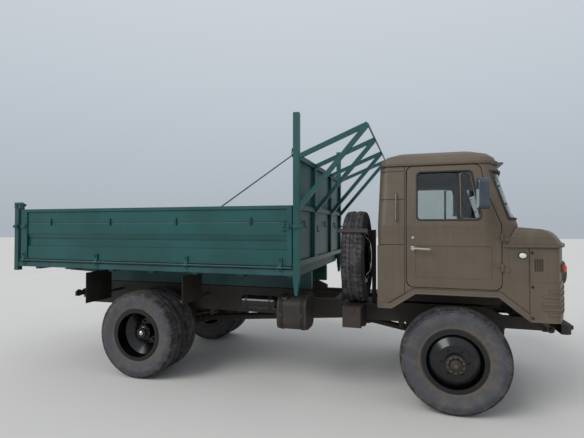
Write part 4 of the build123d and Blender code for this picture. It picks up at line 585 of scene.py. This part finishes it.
for side, hand in HANDS:
    body, skin, lining = "door_" + hand, side * CAB_HALF, side * 1000.5
    out, inward = (0, side, 0), (0, -side, 0)
    bm = bmesh.new()
    skirting(bm, WINDOW, 35, 3, 9, side)
    rod(bm, [(2000, side * (side_y(z) - 14), z) for z in (1744, 2183)], 7, 8)
    piece("window_rubber_" + hand, bm, "seal", body, angle=60)
    bm = bmesh.new()
    skirting(bm, QUARTER_LIGHT, 30, 15, 6, side)
    piece("quarter_light_frame_" + hand, bm, "worn_grip", body, angle=60)
    bm = bmesh.new()
    disc(bm, (1603, skin - side, 1487), out, 24, 9, 20)
    rod(bm, [(1603, skin, 1487), (1603, skin + 34 * side, 1487), (1640, skin + 44 * side, 1487),
             (1742, skin + 40 * side, 1482), (1752, skin + 30 * side, 1482)], 9)
    disc(bm, (1603, skin - side, 1583), out, 15, 8, 13)
    disc(bm, (1603, skin + 6 * side, 1583), out, 9, 8, 8)
    piece("door_handle_" + hand, bm, "bright", body, bevel=0.8)
    # The trim board and its arm rest, and the winder and inner handle
    bm = bmesh.new()
    plate(bm, panel(1600, 1180, 2300, 1500, 45), 1, side * 992, lining)
    plate(bm, panel(1640, 1540, 2260, 1660, 30), 1, side * 994, lining)
    rod(bm, [(1700, side * 996, 1585), (1700, side * 950, 1585), (2010, side * 950, 1585),
             (2010, side * 996, 1585)], 13)
    piece("door_trim_" + hand, bm, "trim_leather", body, bevel=2)
    bm = bmesh.new()
    disc(bm, (1905, side * 1000, 1430), inward, 26, 14, 18)
    rod(bm, [(1905, side * 990, 1430), (1905, side * 972, 1430), (1975, side * 966, 1400),
             (1975, side * 940, 1400)], 7)
    disc(bm, (1975, side * 962, 1400), inward, 11, 30, 13)
    disc(bm, (1655, side * 1000, 1620), inward, 18, 12, 14)
    rod(bm, [(1655, side * 990, 1620), (1655, side * 978, 1620), (1745, side * 970, 1612)], 7)
    piece("door_crank_" + hand, bm, "bright", body)
    # The mirror's glass, and the clamp on its arm
    bm = bmesh.new()
    plate(bm, panel(-75, -117, 75, 117, 32), 0, 0, 3)
    bmesh.ops.translate(bm, vec=(2120, side * 1250, 1955), verts=bm.verts)
    piece("mirror_pane_" + hand, bm, "mirror_glass", body, bevel=1)
    bm = bmesh.new()
    disc(bm, (2183, side * 1192, 1955), out, 16, 26)
    for dz in (-18, 18):
        bolt(bm, (2198, side * 1205, 1955 + dz), (1, 0, 0), 10)
    piece("mirror_clamp_" + hand, bm, "control_plastic", body, bevel=1)

# An insect screen behind the grille
bm = bmesh.new()
plate(bm, panel(-424, 1088, 424, 1452, 20), 0, 2890, 2894)
piece("grille_screen", bm, "sealer_and_shade", "cab")

# Dark sealer in the seams, painted shade along the gutter, the swages and the band over the arches drawn as
# dark rods, and the rolled lips of the arches
bm, lips = bmesh.new(), bmesh.new()
for side in SIDES:
    rod(bm, [(1529, side * side_y(z), z) for z in (1066, 1400, 1697, 1900, 2100, 2238)], 3, 6)
    # Painted shade under the gutter
    rod(bm, [(x, side * side_y(2244), 2244) for x in (1300, 1700, 2150)], 3, 6)
    rod(bm, [(2543, side * CAB_HALF, z) for z in (950, 1500)], 2.6, 6)
    # Painted shade in the swages
    for z in (2200, 1936, 1518):
        rod(bm, [(x, side * (side_y(z) - 2), z) for x in (1306, 1522)], 2.4, 6)
    # Painted shade along the top edge of the band over the arch
    rod(bm, [(x, side * 1047, z) for x, z in ((1378, 981), (1609, 1124), (2321, 1124), (2541, 949))], 2.6, 6)
    rod(lips, [(x, side * 1045, z)
               for x, z in ((1295, 938), (1412, 938), (1624, 1080), (2307, 1080), (2541, 893))], 7, 8)
piece("seam_sealer_and_shade_lines", bm, "sealer_and_shade", "cab", angle=60)
piece("arch_lips", lips, "cab_paint", "cab", angle=60)

# Rubber seals that the doors close on, seen from inside
bm = bmesh.new()
for side in SIDES:
    skirting(bm, DOOR, 45, 52, 9, side)
piece("door_seals", bm, "seal", "cab", angle=60)

# Grab handles behind the doors
bm = bmesh.new()
for side in SIDES:
    top, low = side_y(1984), side_y(1739)
    rod(bm, [(1454, side * (top - 4), 1984), (1454, side * (top + 34), 1978),
             (1454, side * (low + 36), 1748), (1454, side * (low - 4), 1742)], 8)
    for z in (1984, 1742):
        disc(bm, (1454, side * (side_y(z) - 4), z), (0, side, 0), 19, 9, 15)
piece("grab_handles", bm, "worn_grip", "cab")

# Bolts of the nose's seam, and clips at the screen's ends
bm = bmesh.new()
for side in SIDES:
    for z in (1461, 1175, 915):
        bolt(bm, (2566, side * (CAB_HALF - (5 if z > 1214 else 0)), z), (0, side, 0), 14)
    for z in (1880, 2040):
        spot = screen_point(z, x=post_x(z) + 16, proud=10)
        disc(bm, (spot.x, -side * spot.y, z), (0.5, side, 0), 9, 6, 7)
piece("cab_bolts", bm, "control_plastic", "cab")

# Wipers, parked across the screen
bm, blades = bmesh.new(), bmesh.new()
for pivot_y, tip_y in ((-560, -150), (150, 560)):
    pivot = screen_point(1722, pivot_y, proud=6)
    disc(bm, pivot - Vector((6, 0, 0)), (1, 0, 0.2), 17, 24, 12)
    rod(bm, [pivot + Vector((14, 0, 4)), screen_point(1764, pivot_y + 60, proud=28),
             screen_point(1962, tip_y, proud=18)], 5)
    across = (screen_point(2120, tip_y + 60, proud=9), screen_point(1800, tip_y - 70, proud=9))
    rod(blades, across, 5, 6)
    rod(blades, [p + Vector((9, 0, 0)) for p in across], 3, 6)
piece("wiper_arms", bm, "bright", "cab")
piece("wiper_blades", blades, "seal", "cab")

# Headlamps: a painted rim, a silvered bowl with its bulb, and a fluted lens. Front signals: an orange
# dome in a painted rim. Side markers: a white oval in a rubber bezel.
rims, bowls, lenses, bezels, orange, white = (bmesh.new() for _ in range(6))
for side in SIDES:
    lamp = Vector((2899, side * 640, 1270))
    turned(rims, [(-60, 104.5), (-60, 101), (-6, 99), (0, 95), (5, 95), (8, 99), (5, 104.5)], lamp,
           (1, 0, 0), 40, True)
    turned(bowls, [(-8, 99), (-8, 96), (-34, 82), (-56, 56), (-66, 24), (-67, 0), (-72, 0), (-70, 40),
                   (-58, 70), (-36, 99)], lamp, (1, 0, 0), 40)
    rod(bowls, [lamp + Vector((-67, 0, 0)), lamp + Vector((-30, 0, 0))], 9)
    turned(lenses, [(-4, 0), (-4, 95), (0, 96), (6, 90), (13, 60), (17, 30), (18, 0)], lamp, (1, 0, 0), 40)
    lamp, face = Vector((2834, side * 862, 1326)), Vector((0.72, 0.42 * side, 0))
    turned(rims, [(-40, 0), (-40, 40), (8, 40), (12, 37), (12, 0)], lamp, face, 32)
    turned(orange, [(10, 0), (10, 34), (20, 33), (28, 26), (33, 13), (34, 0)], lamp, face, 32)
    spot, squash = (2493, side * 1034, 1438), (1, 1, 0.8)
    oval(bezels, [(0, 0), (0, 34), (9, 34), (12, 31), (12, 0)], side, spot, squash)
    oval(white, [(8, 0), (8, 29), (16, 27), (21, 18), (23, 0)], side, spot, squash)
piece("headlamp_bowls", bowls, "mirror_glass", "cab")
piece("headlamp_lenses", lenses, "headlamp_glass", "cab")
piece("lamp_rims", rims, "cab_paint", "cab", stands_for=["headlamps"])
piece("lamp_bezels", bezels, "seal", "cab", stands_for=["marker_lamps"])
piece("signal_lenses", orange, "lamp_lens", "cab")
piece("marker_lenses", white, "white_lens", "cab")

# Tail lamps: domed lenses on the lamp bars, which are chassis black
nodes["tail_lamps"].data.materials[0] = looks["chassis_black"]
for name, look, y in (("tail_lenses", "red_lens", 640), ("rear_signal_lenses", "lamp_lens", 540)):
    bm = bmesh.new()
    for side in SIDES:
        turned(bm, [(0, 0), (0, 38), (8, 37), (14, 28), (18, 12), (18, 0)], (-2558, side * y, 830),
               (-1, 0, 0), 28)
    piece(name, bm, look, "chassis")


# ---- Cab interior

def last_shape(padded):
    """The mesh that an object's modifiers make, in place of them."""
    view = bpy.context.evaluated_depsgraph_get()
    mesh = bpy.data.meshes.new_from_object(padded.evaluated_get(view))
    padded.modifiers.clear()
    padded.data = mesh
    return mesh


def shown(name, mesh):
    """A padded piece that rides in the cab, made finer once."""
    padded = bpy.data.objects.new(name, mesh)
    bpy.context.scene.collection.objects.link(padded)
    finer = padded.modifiers.new("finer", "SUBSURF")
    finer.levels = finer.render_levels = 1
    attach(padded, "cab")
    return padded


def cushion(low, high, across, crown=14, channels=(-0.3, -0.1, 0.1, 0.3)):
    """A stuffed seat part between two corners: blown up as cloth under pressure from a smaller block, its
    swelling capped at crown, then sewn. across gives the axis that its channels follow each other along,
    and its thin axis; a welt runs round its edge."""
    low, high = Vector(low) * MM, Vector(high) * MM
    along, thick = across
    shrink = Vector([0.012 if axis == thick else 0.006 for axis in range(3)])
    bm = bmesh.new()
    block(bm, low + shrink, high - shrink)
    bmesh.ops.bevel(bm, geom=bm.edges[:], offset=0.022, offset_type="OFFSET", segments=3, profile=0.5,
                    affect="EDGES", material=-1)
    blown = bpy.data.objects.new("blown", pattern(bm))
    bpy.context.scene.collection.objects.link(blown)
    voxels = blown.modifiers.new("voxels", "REMESH")
    voxels.mode, voxels.voxel_size = "VOXEL", 0.007
    mesh = last_shape(blown)
    rest = [v.co.copy() for v in mesh.vertices]
    cloth = blown.modifiers.new("cloth", "CLOTH")
    cloth.settings.use_pressure = True
    cloth.settings.uniform_pressure_force = 4
    cloth.settings.effector_weights.gravity = 0
    for step in range(1, 21):
        bpy.context.scene.frame_set(step)
    mesh = last_shape(blown)
    bpy.context.scene.frame_set(1)
    size, centre = high - low, (low + high) / 2
    for v, start in zip(mesh.vertices, rest):
        push = v.co - start
        if push.length > crown * MM:
            push *= crown * MM / push.length
        v.co = start + push
        spread = (v.co[along] - centre[along]) / size[along]
        facing = (v.co[thick] - centre[thick]) / size[thick]
        if facing > 0.25:
            for channel in channels:
                v.co[thick] -= 0.009 * exp(-(((spread - channel) * size[along] / 0.009) ** 2))
        welt = exp(-(((v.co[thick] - centre[thick] - 0.22 * size[thick]) / 0.005) ** 2))
        if abs(facing) < 0.4:
            outward = v.co - centre
            outward[thick] = 0
            v.co += outward.normalized() * 0.0035 * welt
        v.co = Vector([min(max(c, a), b) for c, a, b in zip(v.co, low, high)])
    mesh.materials.append(looks["trim_leather"])
    mesh.shade_smooth()
    bpy.data.objects.remove(blown)
    return mesh


SEAT_Y = 640
for kind, low, high, across in (("cushion", (1535, 400, 1232), (2015, 880, 1352), (1, 2)),
                                ("back", (1428, 400, 1340), (1540, 880, 1860), (1, 0))):
    mesh = cushion(low, high, across)
    left = shown("seat_" + kind + "_left", mesh)
    right = shown("seat_" + kind + "_right", mesh.copy())
    right.data.transform(Matrix.Translation((0, -2 * SEAT_Y * MM, 0)))
    if kind == "cushion":
        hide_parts("seats")
bm = bmesh.new()
for side in SIDES:
    y = side * SEAT_Y
    for x in (1590, 1960):
        rod(bm, [(x, y - 190, 1100), (x, y - 190, 1226), (x, y + 190, 1226), (x, y + 190, 1100)], 14)
    for dy in (-190, 190):
        rod(bm, [(1560, y + dy, 1112), (1990, y + dy, 1112)], 12)
        rod(bm, [(1570, y + dy, 1226), (1480, y + dy, 1260), (1432, y + dy, 1700)], 12)
    block(bm, (1550, y - 215, 1222), (2000, y + 215, 1234))
piece("seat_frames", bm, "control_plastic", "cab", bevel=1)

# Arch aprons inside the wheel arches, shutting off the engine from the road
bm = bmesh.new()
for side in SIDES:
    plate(bm, [(1420, 1094), (1500, 905), (2420, 905), (2520, 1094)], 1, side * 446, side * 450)
    for x in (1560, 1760, 1960, 2160, 2360):
        block(bm, (x - 12, side * 442, 930), (x + 12, side * 454, 1090))
piece("arch_aprons", bm, "chassis_black", "cab", bevel=1)

# Steering wheel
HUB = Vector((2085, 560, 1662))
LEAN = Vector((-0.45, 0, 1)).normalized()
bm = bmesh.new()
turned(bm, [(11 * sin(tau * i / 12), 198 + 12 * cos(tau * i / 12)) for i in range(12)], HUB, LEAN, 56, True)
sideways, forwards = Vector((0, 1, 0)), Vector((0, 1, 0)).cross(LEAN)
for turn in (0, 2.2, -2.2):
    arm = forwards * cos(turn) + sideways * sin(turn)
    rod(bm, [HUB + arm * 20 - LEAN * 22, HUB + arm * 90 - LEAN * 16, HUB + arm * 196], 8)
turned(bm, [(-40, 0), (-40, 30), (-12, 44), (4, 40), (10, 24), (12, 0)], HUB, LEAN, 28)
piece("steering_wheel_moulding", bm, "control_plastic", "cab", stands_for=["steering_wheel"])

# Its column and stalk, the three pedals, and the gear levers with their boots and knobs
bm = bmesh.new()
rod(bm, [HUB - LEAN * 30, HUB - LEAN * 590], 23, 16)
turned(bm, [(-150, 23), (-150, 38), (-60, 38), (-60, 23)], HUB, LEAN, 20, True)
rod(bm, [HUB - LEAN * 90 + sideways * 30, HUB - LEAN * 80 + sideways * 170], 5)
disc(bm, HUB - LEAN * 80 + sideways * 166, (0, 1, 0), 9, 20, 6)
for y, z in ((430, 1180), (560, 1180), (700, 1160)):
    rod(bm, [(2372, y, z + 130), (2330, y, z + 70), (2296, y, z)], 8)
    block(bm, (2276, y - 34, z - 42), (2290, y + 34, z + 32))
for x, y, reach in ((1905, 90, 260), (1850, 170, 190), (1850, -60, 170)):
    turned(bm, [(0, 0), (0, 52), (16, 46), (34, 22), (46, 12), (46, 0)], (x, y, 1468), (0, 0, 1), 20)
    rod(bm, [(x, y, 1500), (x - 20, y, 1480 + 0.5 * reach), (x - 60, y, 1480 + reach)], 7)
    turned(bm, [(0, 0), (0, 12), (16, 22), (32, 17), (38, 0)], (x - 60, y, 1474 + reach), (-0.2, 0, 1), 16)
piece("controls", bm, "control_plastic", "cab")

# Ribbed mats, and a plain one on the tunnel
bm = bmesh.new()
for side in SIDES:
    plate(bm, panel(1400, side * 365, 2370, side * 990, 40), 2, 1097, 1105)
    for i in range(14):
        block(bm, (1440 + i * 66, side * 395, 1104), (1466 + i * 66, side * 960, 1108))
plate(bm, panel(1330, -335, 2375, 335, 50), 2, 1469, 1480)
piece("floor_mats", bm, "mat", "cab", bevel=1.5)

# Instrument cluster, glove-box lid and switches, on the dash's face
DASH_X = 2178
bm, dials, marks = bmesh.new(), bmesh.new(), bmesh.new()
rear = (-1, 0, 0)
plate(bm, panel(400, 1520, 800, 1672, 30), 0, 2176, 2190)
plate(bm, panel(-860, 1515, -440, 1665, 20), 0, 2177, 2186)
disc(bm, (DASH_X, -650, 1640), rear, 14, 16, 10)
for i in range(6):
    disc(bm, (DASH_X, 130 + 40 * i, 1540), rear, 10, 14, 7)
for y, z, radius in ((480, 1610, 52), (600, 1612, 40), (700, 1612, 40), (540, 1545, 22), (640, 1545, 22),
                     (720, 1545, 22)):
    turned(bm, [(0, radius + 1), (0, radius + 6), (9, radius + 5), (9, radius)], (DASH_X, y, z), rear, 28,
           True)
    disc(dials, (DASH_X, y, z), rear, radius, 3, sides=28)
    middle = Vector((2174.5, y, z))
    for i in range(9):
        turn = radians(-30 + i * 30)
        mark = Vector((0, -cos(turn), sin(turn)))
        rod(marks, [middle + mark * radius * share for share in (0.78, 0.93)], 0.03 * radius, 6)
    rod(marks, [(2173, y, z), (2173, y + 0.4 * radius, z + 0.55 * radius)], 0.035 * radius, 6)
piece("instrument_cluster", bm, "control_plastic", "cab", bevel=1)
piece("instrument_dials", dials, "dial", "cab")
piece("instrument_marks", marks, "white_lens", "cab")

# Sun visors on their pins
bm = bmesh.new()
for side in SIDES:
    plate(bm, panel(side * 180, 2050, side * 700, 2190, 40), 0, 2268, 2284)
    for y in (220, 660):
        rod(bm, [(2276, side * y, 2186), (2276, side * y, 2236)], 6)
piece("sun_visors", bm, "trim_leather", "cab", bevel=3)


# ---- Tipping body

HINGE_XS = (-2882, -1824, -674, 363)
ROPE_XS = (-2477, -1638, -796, 58)
LATCH_Z = 1687
# Pressed creases of a side board: height, how deep the bead's middle lies, and its radius
CREASES = ((1853, 11, 3.5), (1728, 16, 3.5), (1601, 13, 2.4), (1546, 29, 5), (1456, 27, 5), (1313, 11, 3))

for side, hand in HANDS:
    body, skin, out = "side_board_" + hand, side * BED_HALF, (0, side, 0)
    face = side * 1138  # the bottom of the board's recess
    bars, cups, bolts, creases, latches = (bmesh.new() for _ in range(5))
    for x in ROPE_XS:
        # A dark oval of painted shade in each rope recess, with its bar over it
        oval(cups, [(0, 0), (0, 33), (2, 33), (3, 28), (3, 0)], side, (x, face - 1.5 * side, 1738),
             (0.8, 1, 1.3), 28)
        rod(bars, [(x, face - 2 * side, 1776), (x, face + 9 * side, 1768), (x, face + 9 * side, 1706),
                   (x, face - 2 * side, 1698)], 6)
    for x in HINGE_XS:
        bolt(bolts, (x, side * 1156, 1354), out, 15)
    # Painted shade along the pressed creases, drawn as dark beads
    for z, depth, bead in CREASES:
        rod(creases, [(x, side * (BED_HALF - depth), z) for x in (-2832, 432)], bead, 6)
    # A tapered bracket and sliding bolt at each end, with a knob on the front one
    high = skin + 12 * side
    plate(latches, [(384, 1640), (474, 1662), (474, 1712), (384, 1734)], 1, skin - side, skin + 7 * side)
    rod(latches, [(392, high, LATCH_Z), (490, high, LATCH_Z)], 8)
    rod(latches, [(420, high, LATCH_Z), (420, high + 14 * side, 1702), (420, high + 18 * side, 1722)], 6)
    for x in (402, 456):
        block(latches, (x - 9, skin, 1672), (x + 9, skin + 22 * side, 1702))
    plate(latches, [(-2916, 1650), (-2850, 1664), (-2850, 1710), (-2916, 1724)], 1, skin - side,
          skin + 7 * side)
    rod(latches, [(-2920, high, LATCH_Z), (-2858, high, LATCH_Z)], 8)
    piece("hinge_bolts_" + hand, bolts, "shade_paint", body)
    piece("crease_shade_beads_" + hand, creases, "shade_paint", body)
    piece("rope_recess_shade_" + hand, cups, "shade_paint", body)
    piece("rope_bars_" + hand, bars, "body_paint", body)
    piece("board_latches_" + hand, latches, "body_paint", body, bevel=0.8)

# Hinge bolts, latch keepers, post bolts, rings behind the posts, and the headboard's hooks
bm = bmesh.new()
for side in SIDES:
    skin, out, post_y = side * BED_HALF, (0, side, 0), side * 1121
    for x in HINGE_XS:
        bolt(bm, (x, skin, 1250), out, 12)
    for low_x, high_x in ((498, 556), (-3026, -2974)):
        block(bm, (low_x, skin - 2 * side, 1668), (high_x, skin + 20 * side, 1706))
    rod(bm, [(556, skin + 10 * side, LATCH_Z), (584, skin + 10 * side, LATCH_Z),
             (596, skin + 2 * side, 1700)], 8)
    rod(bm, [(-3026, skin + 10 * side, LATCH_Z), (-3042, skin + 10 * side, LATCH_Z)], 8)
    for x in (-2922, -2990):
        for z in (1950, 1925):
            bolt(bm, (x, side * 1156, z), out, 15)
    hoop(bm, [(486, post_y + 25 * sin(tau * i / 16), 2400 + 34 * cos(tau * i / 16)) for i in range(16)], 6)
    block(bm, (480, post_y - 12, 2430), (500, post_y + 12, 2446))
    for z in (1345, 1800):
        block(bm, (552, post_y - 24, z), (559, post_y + 24, z + 60))
for y, z in ((-858, 1708), (-302, 1661), (108, 1714), (751, 1701)):
    rod(bm, [(520, y, z + 30), (536, y, z + 26), (536, y, z - 22), (548, y, z - 34), (556, y, z - 22)], 6)
piece("body_fittings", bm, "body_paint", "bed", bevel=0.8)

# Weld pads and beads where the guard's tubes, posts and uprights meet
bm = bmesh.new()
for y in (-1125, -430, 430, 1125):
    for z in (2340, 1800):
        block(bm, (553, y - 24, z - 24), (558, y + 24, z + 24))
for side in SIDES:
    rod(bm, [(552, side * 1092, z) for z in range(1180, 2340, 40)], 3.5, 6)
    for y in (421, 479):
        rod(bm, [(524, side * y, z) for z in range(1330, 2330, 40)], 3, 6)
piece("weld_beads", bm, "body_paint", "bed")

# Tailgate: bosses, bolts and pin caps
bm = bmesh.new()
for side in SIDES:
    rod(bm, [(-3045, side * 700, 1560), (-3030, side * 700, 1560)], 14)
    for z in (1250, 1850):
        bolt(bm, (-3009, side * 1060, z), (1, 0, 0), 13)
    disc(bm, (-3016, side * 1080, 1950), (0, -side, 0), 17, 60, 15)
piece("tailgate_fittings", bm, "body_paint", "tailgate")


# ---- Chassis

# Spring clamps with their plates, bands round the leaves, and shackles at the eyes
bm = bmesh.new()
for axle_x, tube, spring_half in ((FRONT_X, 55, 480), (REAR_X, 65, 600)):
    low = HUB_Z - tube - 20
    for side in SIDES:
        y = side * 392.5
        for dx in (-45, 45):
            rod(bm, [(axle_x + dx, y - 41, low - 10), (axle_x + dx, y - 41, 607),
                     (axle_x + dx, y + 41, 607), (axle_x + dx, y + 41, low - 10)], 8)
            for dy in (-41, 41):
                bolt(bm, (axle_x + dx, y + dy, low), (0, 0, -1), 20)
        block(bm, (axle_x - 75, y - 60, low), (axle_x + 75, y + 60, low + 18))
        block(bm, (axle_x - 60, y - 34, 600), (axle_x + 60, y + 34, 606))
        for end in SIDES:
            x = axle_x + end * 0.45 * spring_half
            block(bm, (x - 14, y - 38, 556), (x + 14, y + 38, 612))
            x = axle_x + end * spring_half
            for dy in (-36, 36):
                block(bm, (x - 22, y + dy - 4, 615), (x + 22, y + dy + 4, 682))
                bolt(bm, (x, y + dy + (4 if dy > 0 else -4), 640), (0, dy, 0), 22)
piece("spring_fittings", bm, "chassis_black", "chassis", bevel=1)

# Straps on the fuel and air tanks, the battery box's lid and clip, mudguard bolts and rail rivets
bm = bmesh.new()
tank = panel(-930, 625, -590, 955, 90, 6)
for x in (300, 520):
    for dx in (-14, 0, 14):
        hoop(bm, [(x + dx, (y + 760) * 1.012 - 760, (z - 790) * 1.012 + 790) for y, z in tank], 4.5, 6)
    block(bm, (x - 16, -944, 760), (x + 16, -928, 800))
for x in (-85, 175):
    for dx in (-8, 8):
        hoop(bm, [(x + dx, -870 + 70 * cos(tau * i / 24), 889 + 70 * sin(tau * i / 24))
                  for i in range(24)], 3.5, 6)
plate(bm, panel(911, -829, 1109, -421, 14), 2, 868, 882)
block(bm, (988, -835, 820), (1032, -824, 874))
for side in SIDES:
    for x in (-2032, -762):
        for y in (700, 860, 1020):
            bolt(bm, (x, side * y, 1000), (1, 0, 0), 13)
    for i in range(26):
        for z in (705, 855):
            disc(bm, (-2440 + i * 180, side * 424, z if i < 25 else 700), (0, side, 0), 8, 6, 5, sides=8)
piece("chassis_fittings", bm, "chassis_black", "chassis", bevel=0.8)

# The filler's cap, and plugs in the air tank
bm = bmesh.new()
turned(bm, [(0, 0), (0, 38), (22, 38), (26, 30), (26, 0)], (330, -880, 945), (0, -0.5, 1), 24)
disc(bm, (-155, -870, 889), (-1, 0, 0), 12, 14, 8)
disc(bm, (245, -870, 889), (1, 0, 0), 12, 14, 8)
disc(bm, (45, -870, 824), (0, 0, -1), 10, 16, 7)
piece("tank_caps", bm, "bolt_steel", "chassis", bevel=0.8)

# Brake chambers, rigid pipes and the bumper's bolts
bm = bmesh.new()
for axle_x, y in ((FRONT_X, 600), (REAR_X, 520)):
    for side in SIDES:
        spot = Vector((axle_x - 105, side * y, HUB_Z + 20))
        turned(bm, [(0, 0), (0, 46), (22, 62), (30, 66), (36, 62), (60, 40), (66, 0)], spot, (-1, 0, 0), 24)
        rod(bm, [spot + Vector((8, 0, 0)), spot + Vector((60, 0, -10))], 12)
    rod(bm, [(axle_x - 168, -y, HUB_Z + 20), (axle_x - 178, -y + 60, HUB_Z + 60),
             (axle_x - 178, y - 60, HUB_Z + 60), (axle_x - 168, y, HUB_Z + 20)], 5, 8)
for side in SIDES:
    rod(bm, [(x, side * 352, z) for x, z in ((2800, 760), (1700, 760), (1500, 830), (-2450, 830))], 6, 8)
    for y in (330, 530):
        bolt(bm, (2985, side * y, 745), (1, 0, 0), 20)
piece("brake_lines", bm, "rusty_steel", "chassis")

# Crosses of the propeller shafts' joints
bm = bmesh.new()
for x, z in ((1690, 484), (1085, 596), (893, 636), (-1080, 484)):
    rod(bm, [(x, -52, z), (x, 52, z)], 15)
    rod(bm, [(x, 0, z - 52), (x, 0, z + 52)], 15)
piece("shaft_crosses", bm, "engine_metal", "chassis")

# Engine dressing, seen when the cab tilts: rocker covers, manifolds, inlet and pulleys
bm = bmesh.new()
for side in SIDES:
    plate(bm, panel(1480, side * 120, 2240, side * 285, 30), 2, 1398, 1428)
    for i in range(5):
        x = 1520 + i * 170
        bolt(bm, (x, side * 202, 1428), (0, 0, 1), 14)
        rod(bm, [(x, side * 292, 1250), (x, side * 318, 1240), (x, side * 318, 1130)], 17)
    rod(bm, [(1500, side * 318, 1130), (2230, side * 318, 1130)], 24)
block(bm, (1560, -100, 1398), (2160, 100, 1416))
turned(bm, [(0, 0), (0, 60), (4, 70), (4, 0)], (1860, 0, 1414), (0, 0, 1), 24)
for y, z, radius in ((0, 900, 90), (0, 1130, 70), (170, 1060, 52)):
    turned(bm, [(0, 0), (0, radius), (9, radius), (16, radius - 12), (23, radius), (32, radius), (32, 0)],
           (2284, y, z), (1, 0, 0), 28)
piece("engine_dressing", bm, "engine_metal", "chassis", bevel=1.5)

# The fan, and the radiator's hoses
FAN_X, FAN_Z = 2350, 1130
bm = bmesh.new()
for i in range(6):
    blade = bmesh.new()
    plate(blade, rounded([(-45, 60), (45, 60), (62, 225), (-50, 225)], 14), 0, -2, 2)
    bmesh.ops.rotate(blade, cent=(0, 0, 0), matrix=Matrix.Rotation(0.5, 3, "Z"), verts=blade.verts)
    stamp(bm, pattern(blade),
          Matrix.Translation((FAN_X, 0, FAN_Z)) @ Matrix.Rotation(tau * i / 6, 4, "X"))
turned(bm, [(-34, 0), (-34, 40), (0, 78), (8, 78), (8, 0)], (FAN_X - 2, 0, FAN_Z), (1, 0, 0), 24)
for side, z in ((1, 1240), (-1, 990)):
    rod(bm, [(2555, side * 180, z), (2440, side * 180, z), (2380, side * 240, z + 20),
             (2240, side * 240, z + 20)], 24, 14)
piece("engine_fan", bm, "control_plastic", "chassis")


# ---- Camera at the photograph's place, pale floor and plain soft studio light

scene = bpy.context.scene
cam_data = bpy.data.cameras.new("camera")
cam_data.sensor_width = 36
cam_data.lens = 25.27
cam = bpy.data.objects.new("camera", cam_data)
yaw, pitch = radians(16.96), radians(1.07)
forward = Vector((-sin(yaw) * cos(pitch), cos(yaw) * cos(pitch), sin(pitch)))
cam.location = (1.640, -4.927, 1.683)
cam.rotation_mode = "QUATERNION"
cam.rotation_quaternion = forward.to_track_quat("-Z", "Y")
scene.collection.objects.link(cam)
scene.camera = cam
scene.view_settings.view_transform = "Standard"

bm = bmesh.new()
bmesh.ops.create_grid(bm, x_segments=1, y_segments=1, size=60)
floor = bpy.data.objects.new("floor", pattern(bm, "floor"))
scene.collection.objects.link(floor)
material, tree, coords = new_material("studio_floor_paint")
mottle = add(tree, "TexNoise", {"Vector": coords.outputs["Object"], "Scale": 0.7, "Detail": 5.0})
tint = add(tree, "Mix", {0: mottle, 6: linear("#D2D0CB"), 7: linear("#C9C7C2")}, data_type="RGBA")
surface(tree, {"Base Color": tint, "Roughness": 0.9})
floor.data.materials.append(material)

sun_data = bpy.data.lights.new("key", "SUN")
sun_data.energy = 1.6
sun_data.angle = 0.6
sun = bpy.data.objects.new("key", sun_data)
sun.rotation_euler = (radians(48), radians(-18), radians(-20))
scene.collection.objects.link(sun)
# A studio dome, paler overhead
world = bpy.data.worlds.new("studio")
world.use_nodes = True
tree = world.node_tree
height = add(tree, "SeparateXYZ", {"Vector": add(tree, "TexCoord").outputs["Generated"]})
dome = add(tree, "ValToRGB", {"Fac": height.outputs["Z"]})
set_stops(dome, [(0, "#B9C1CA"), (0.25, "#CBD4DE"), (1, "#F7FAFF")])
background = tree.nodes["Background"]
tree.links.new(dome.outputs["Color"], background.inputs["Color"])
background.inputs["Strength"].default_value = 0.85
scene.world = world
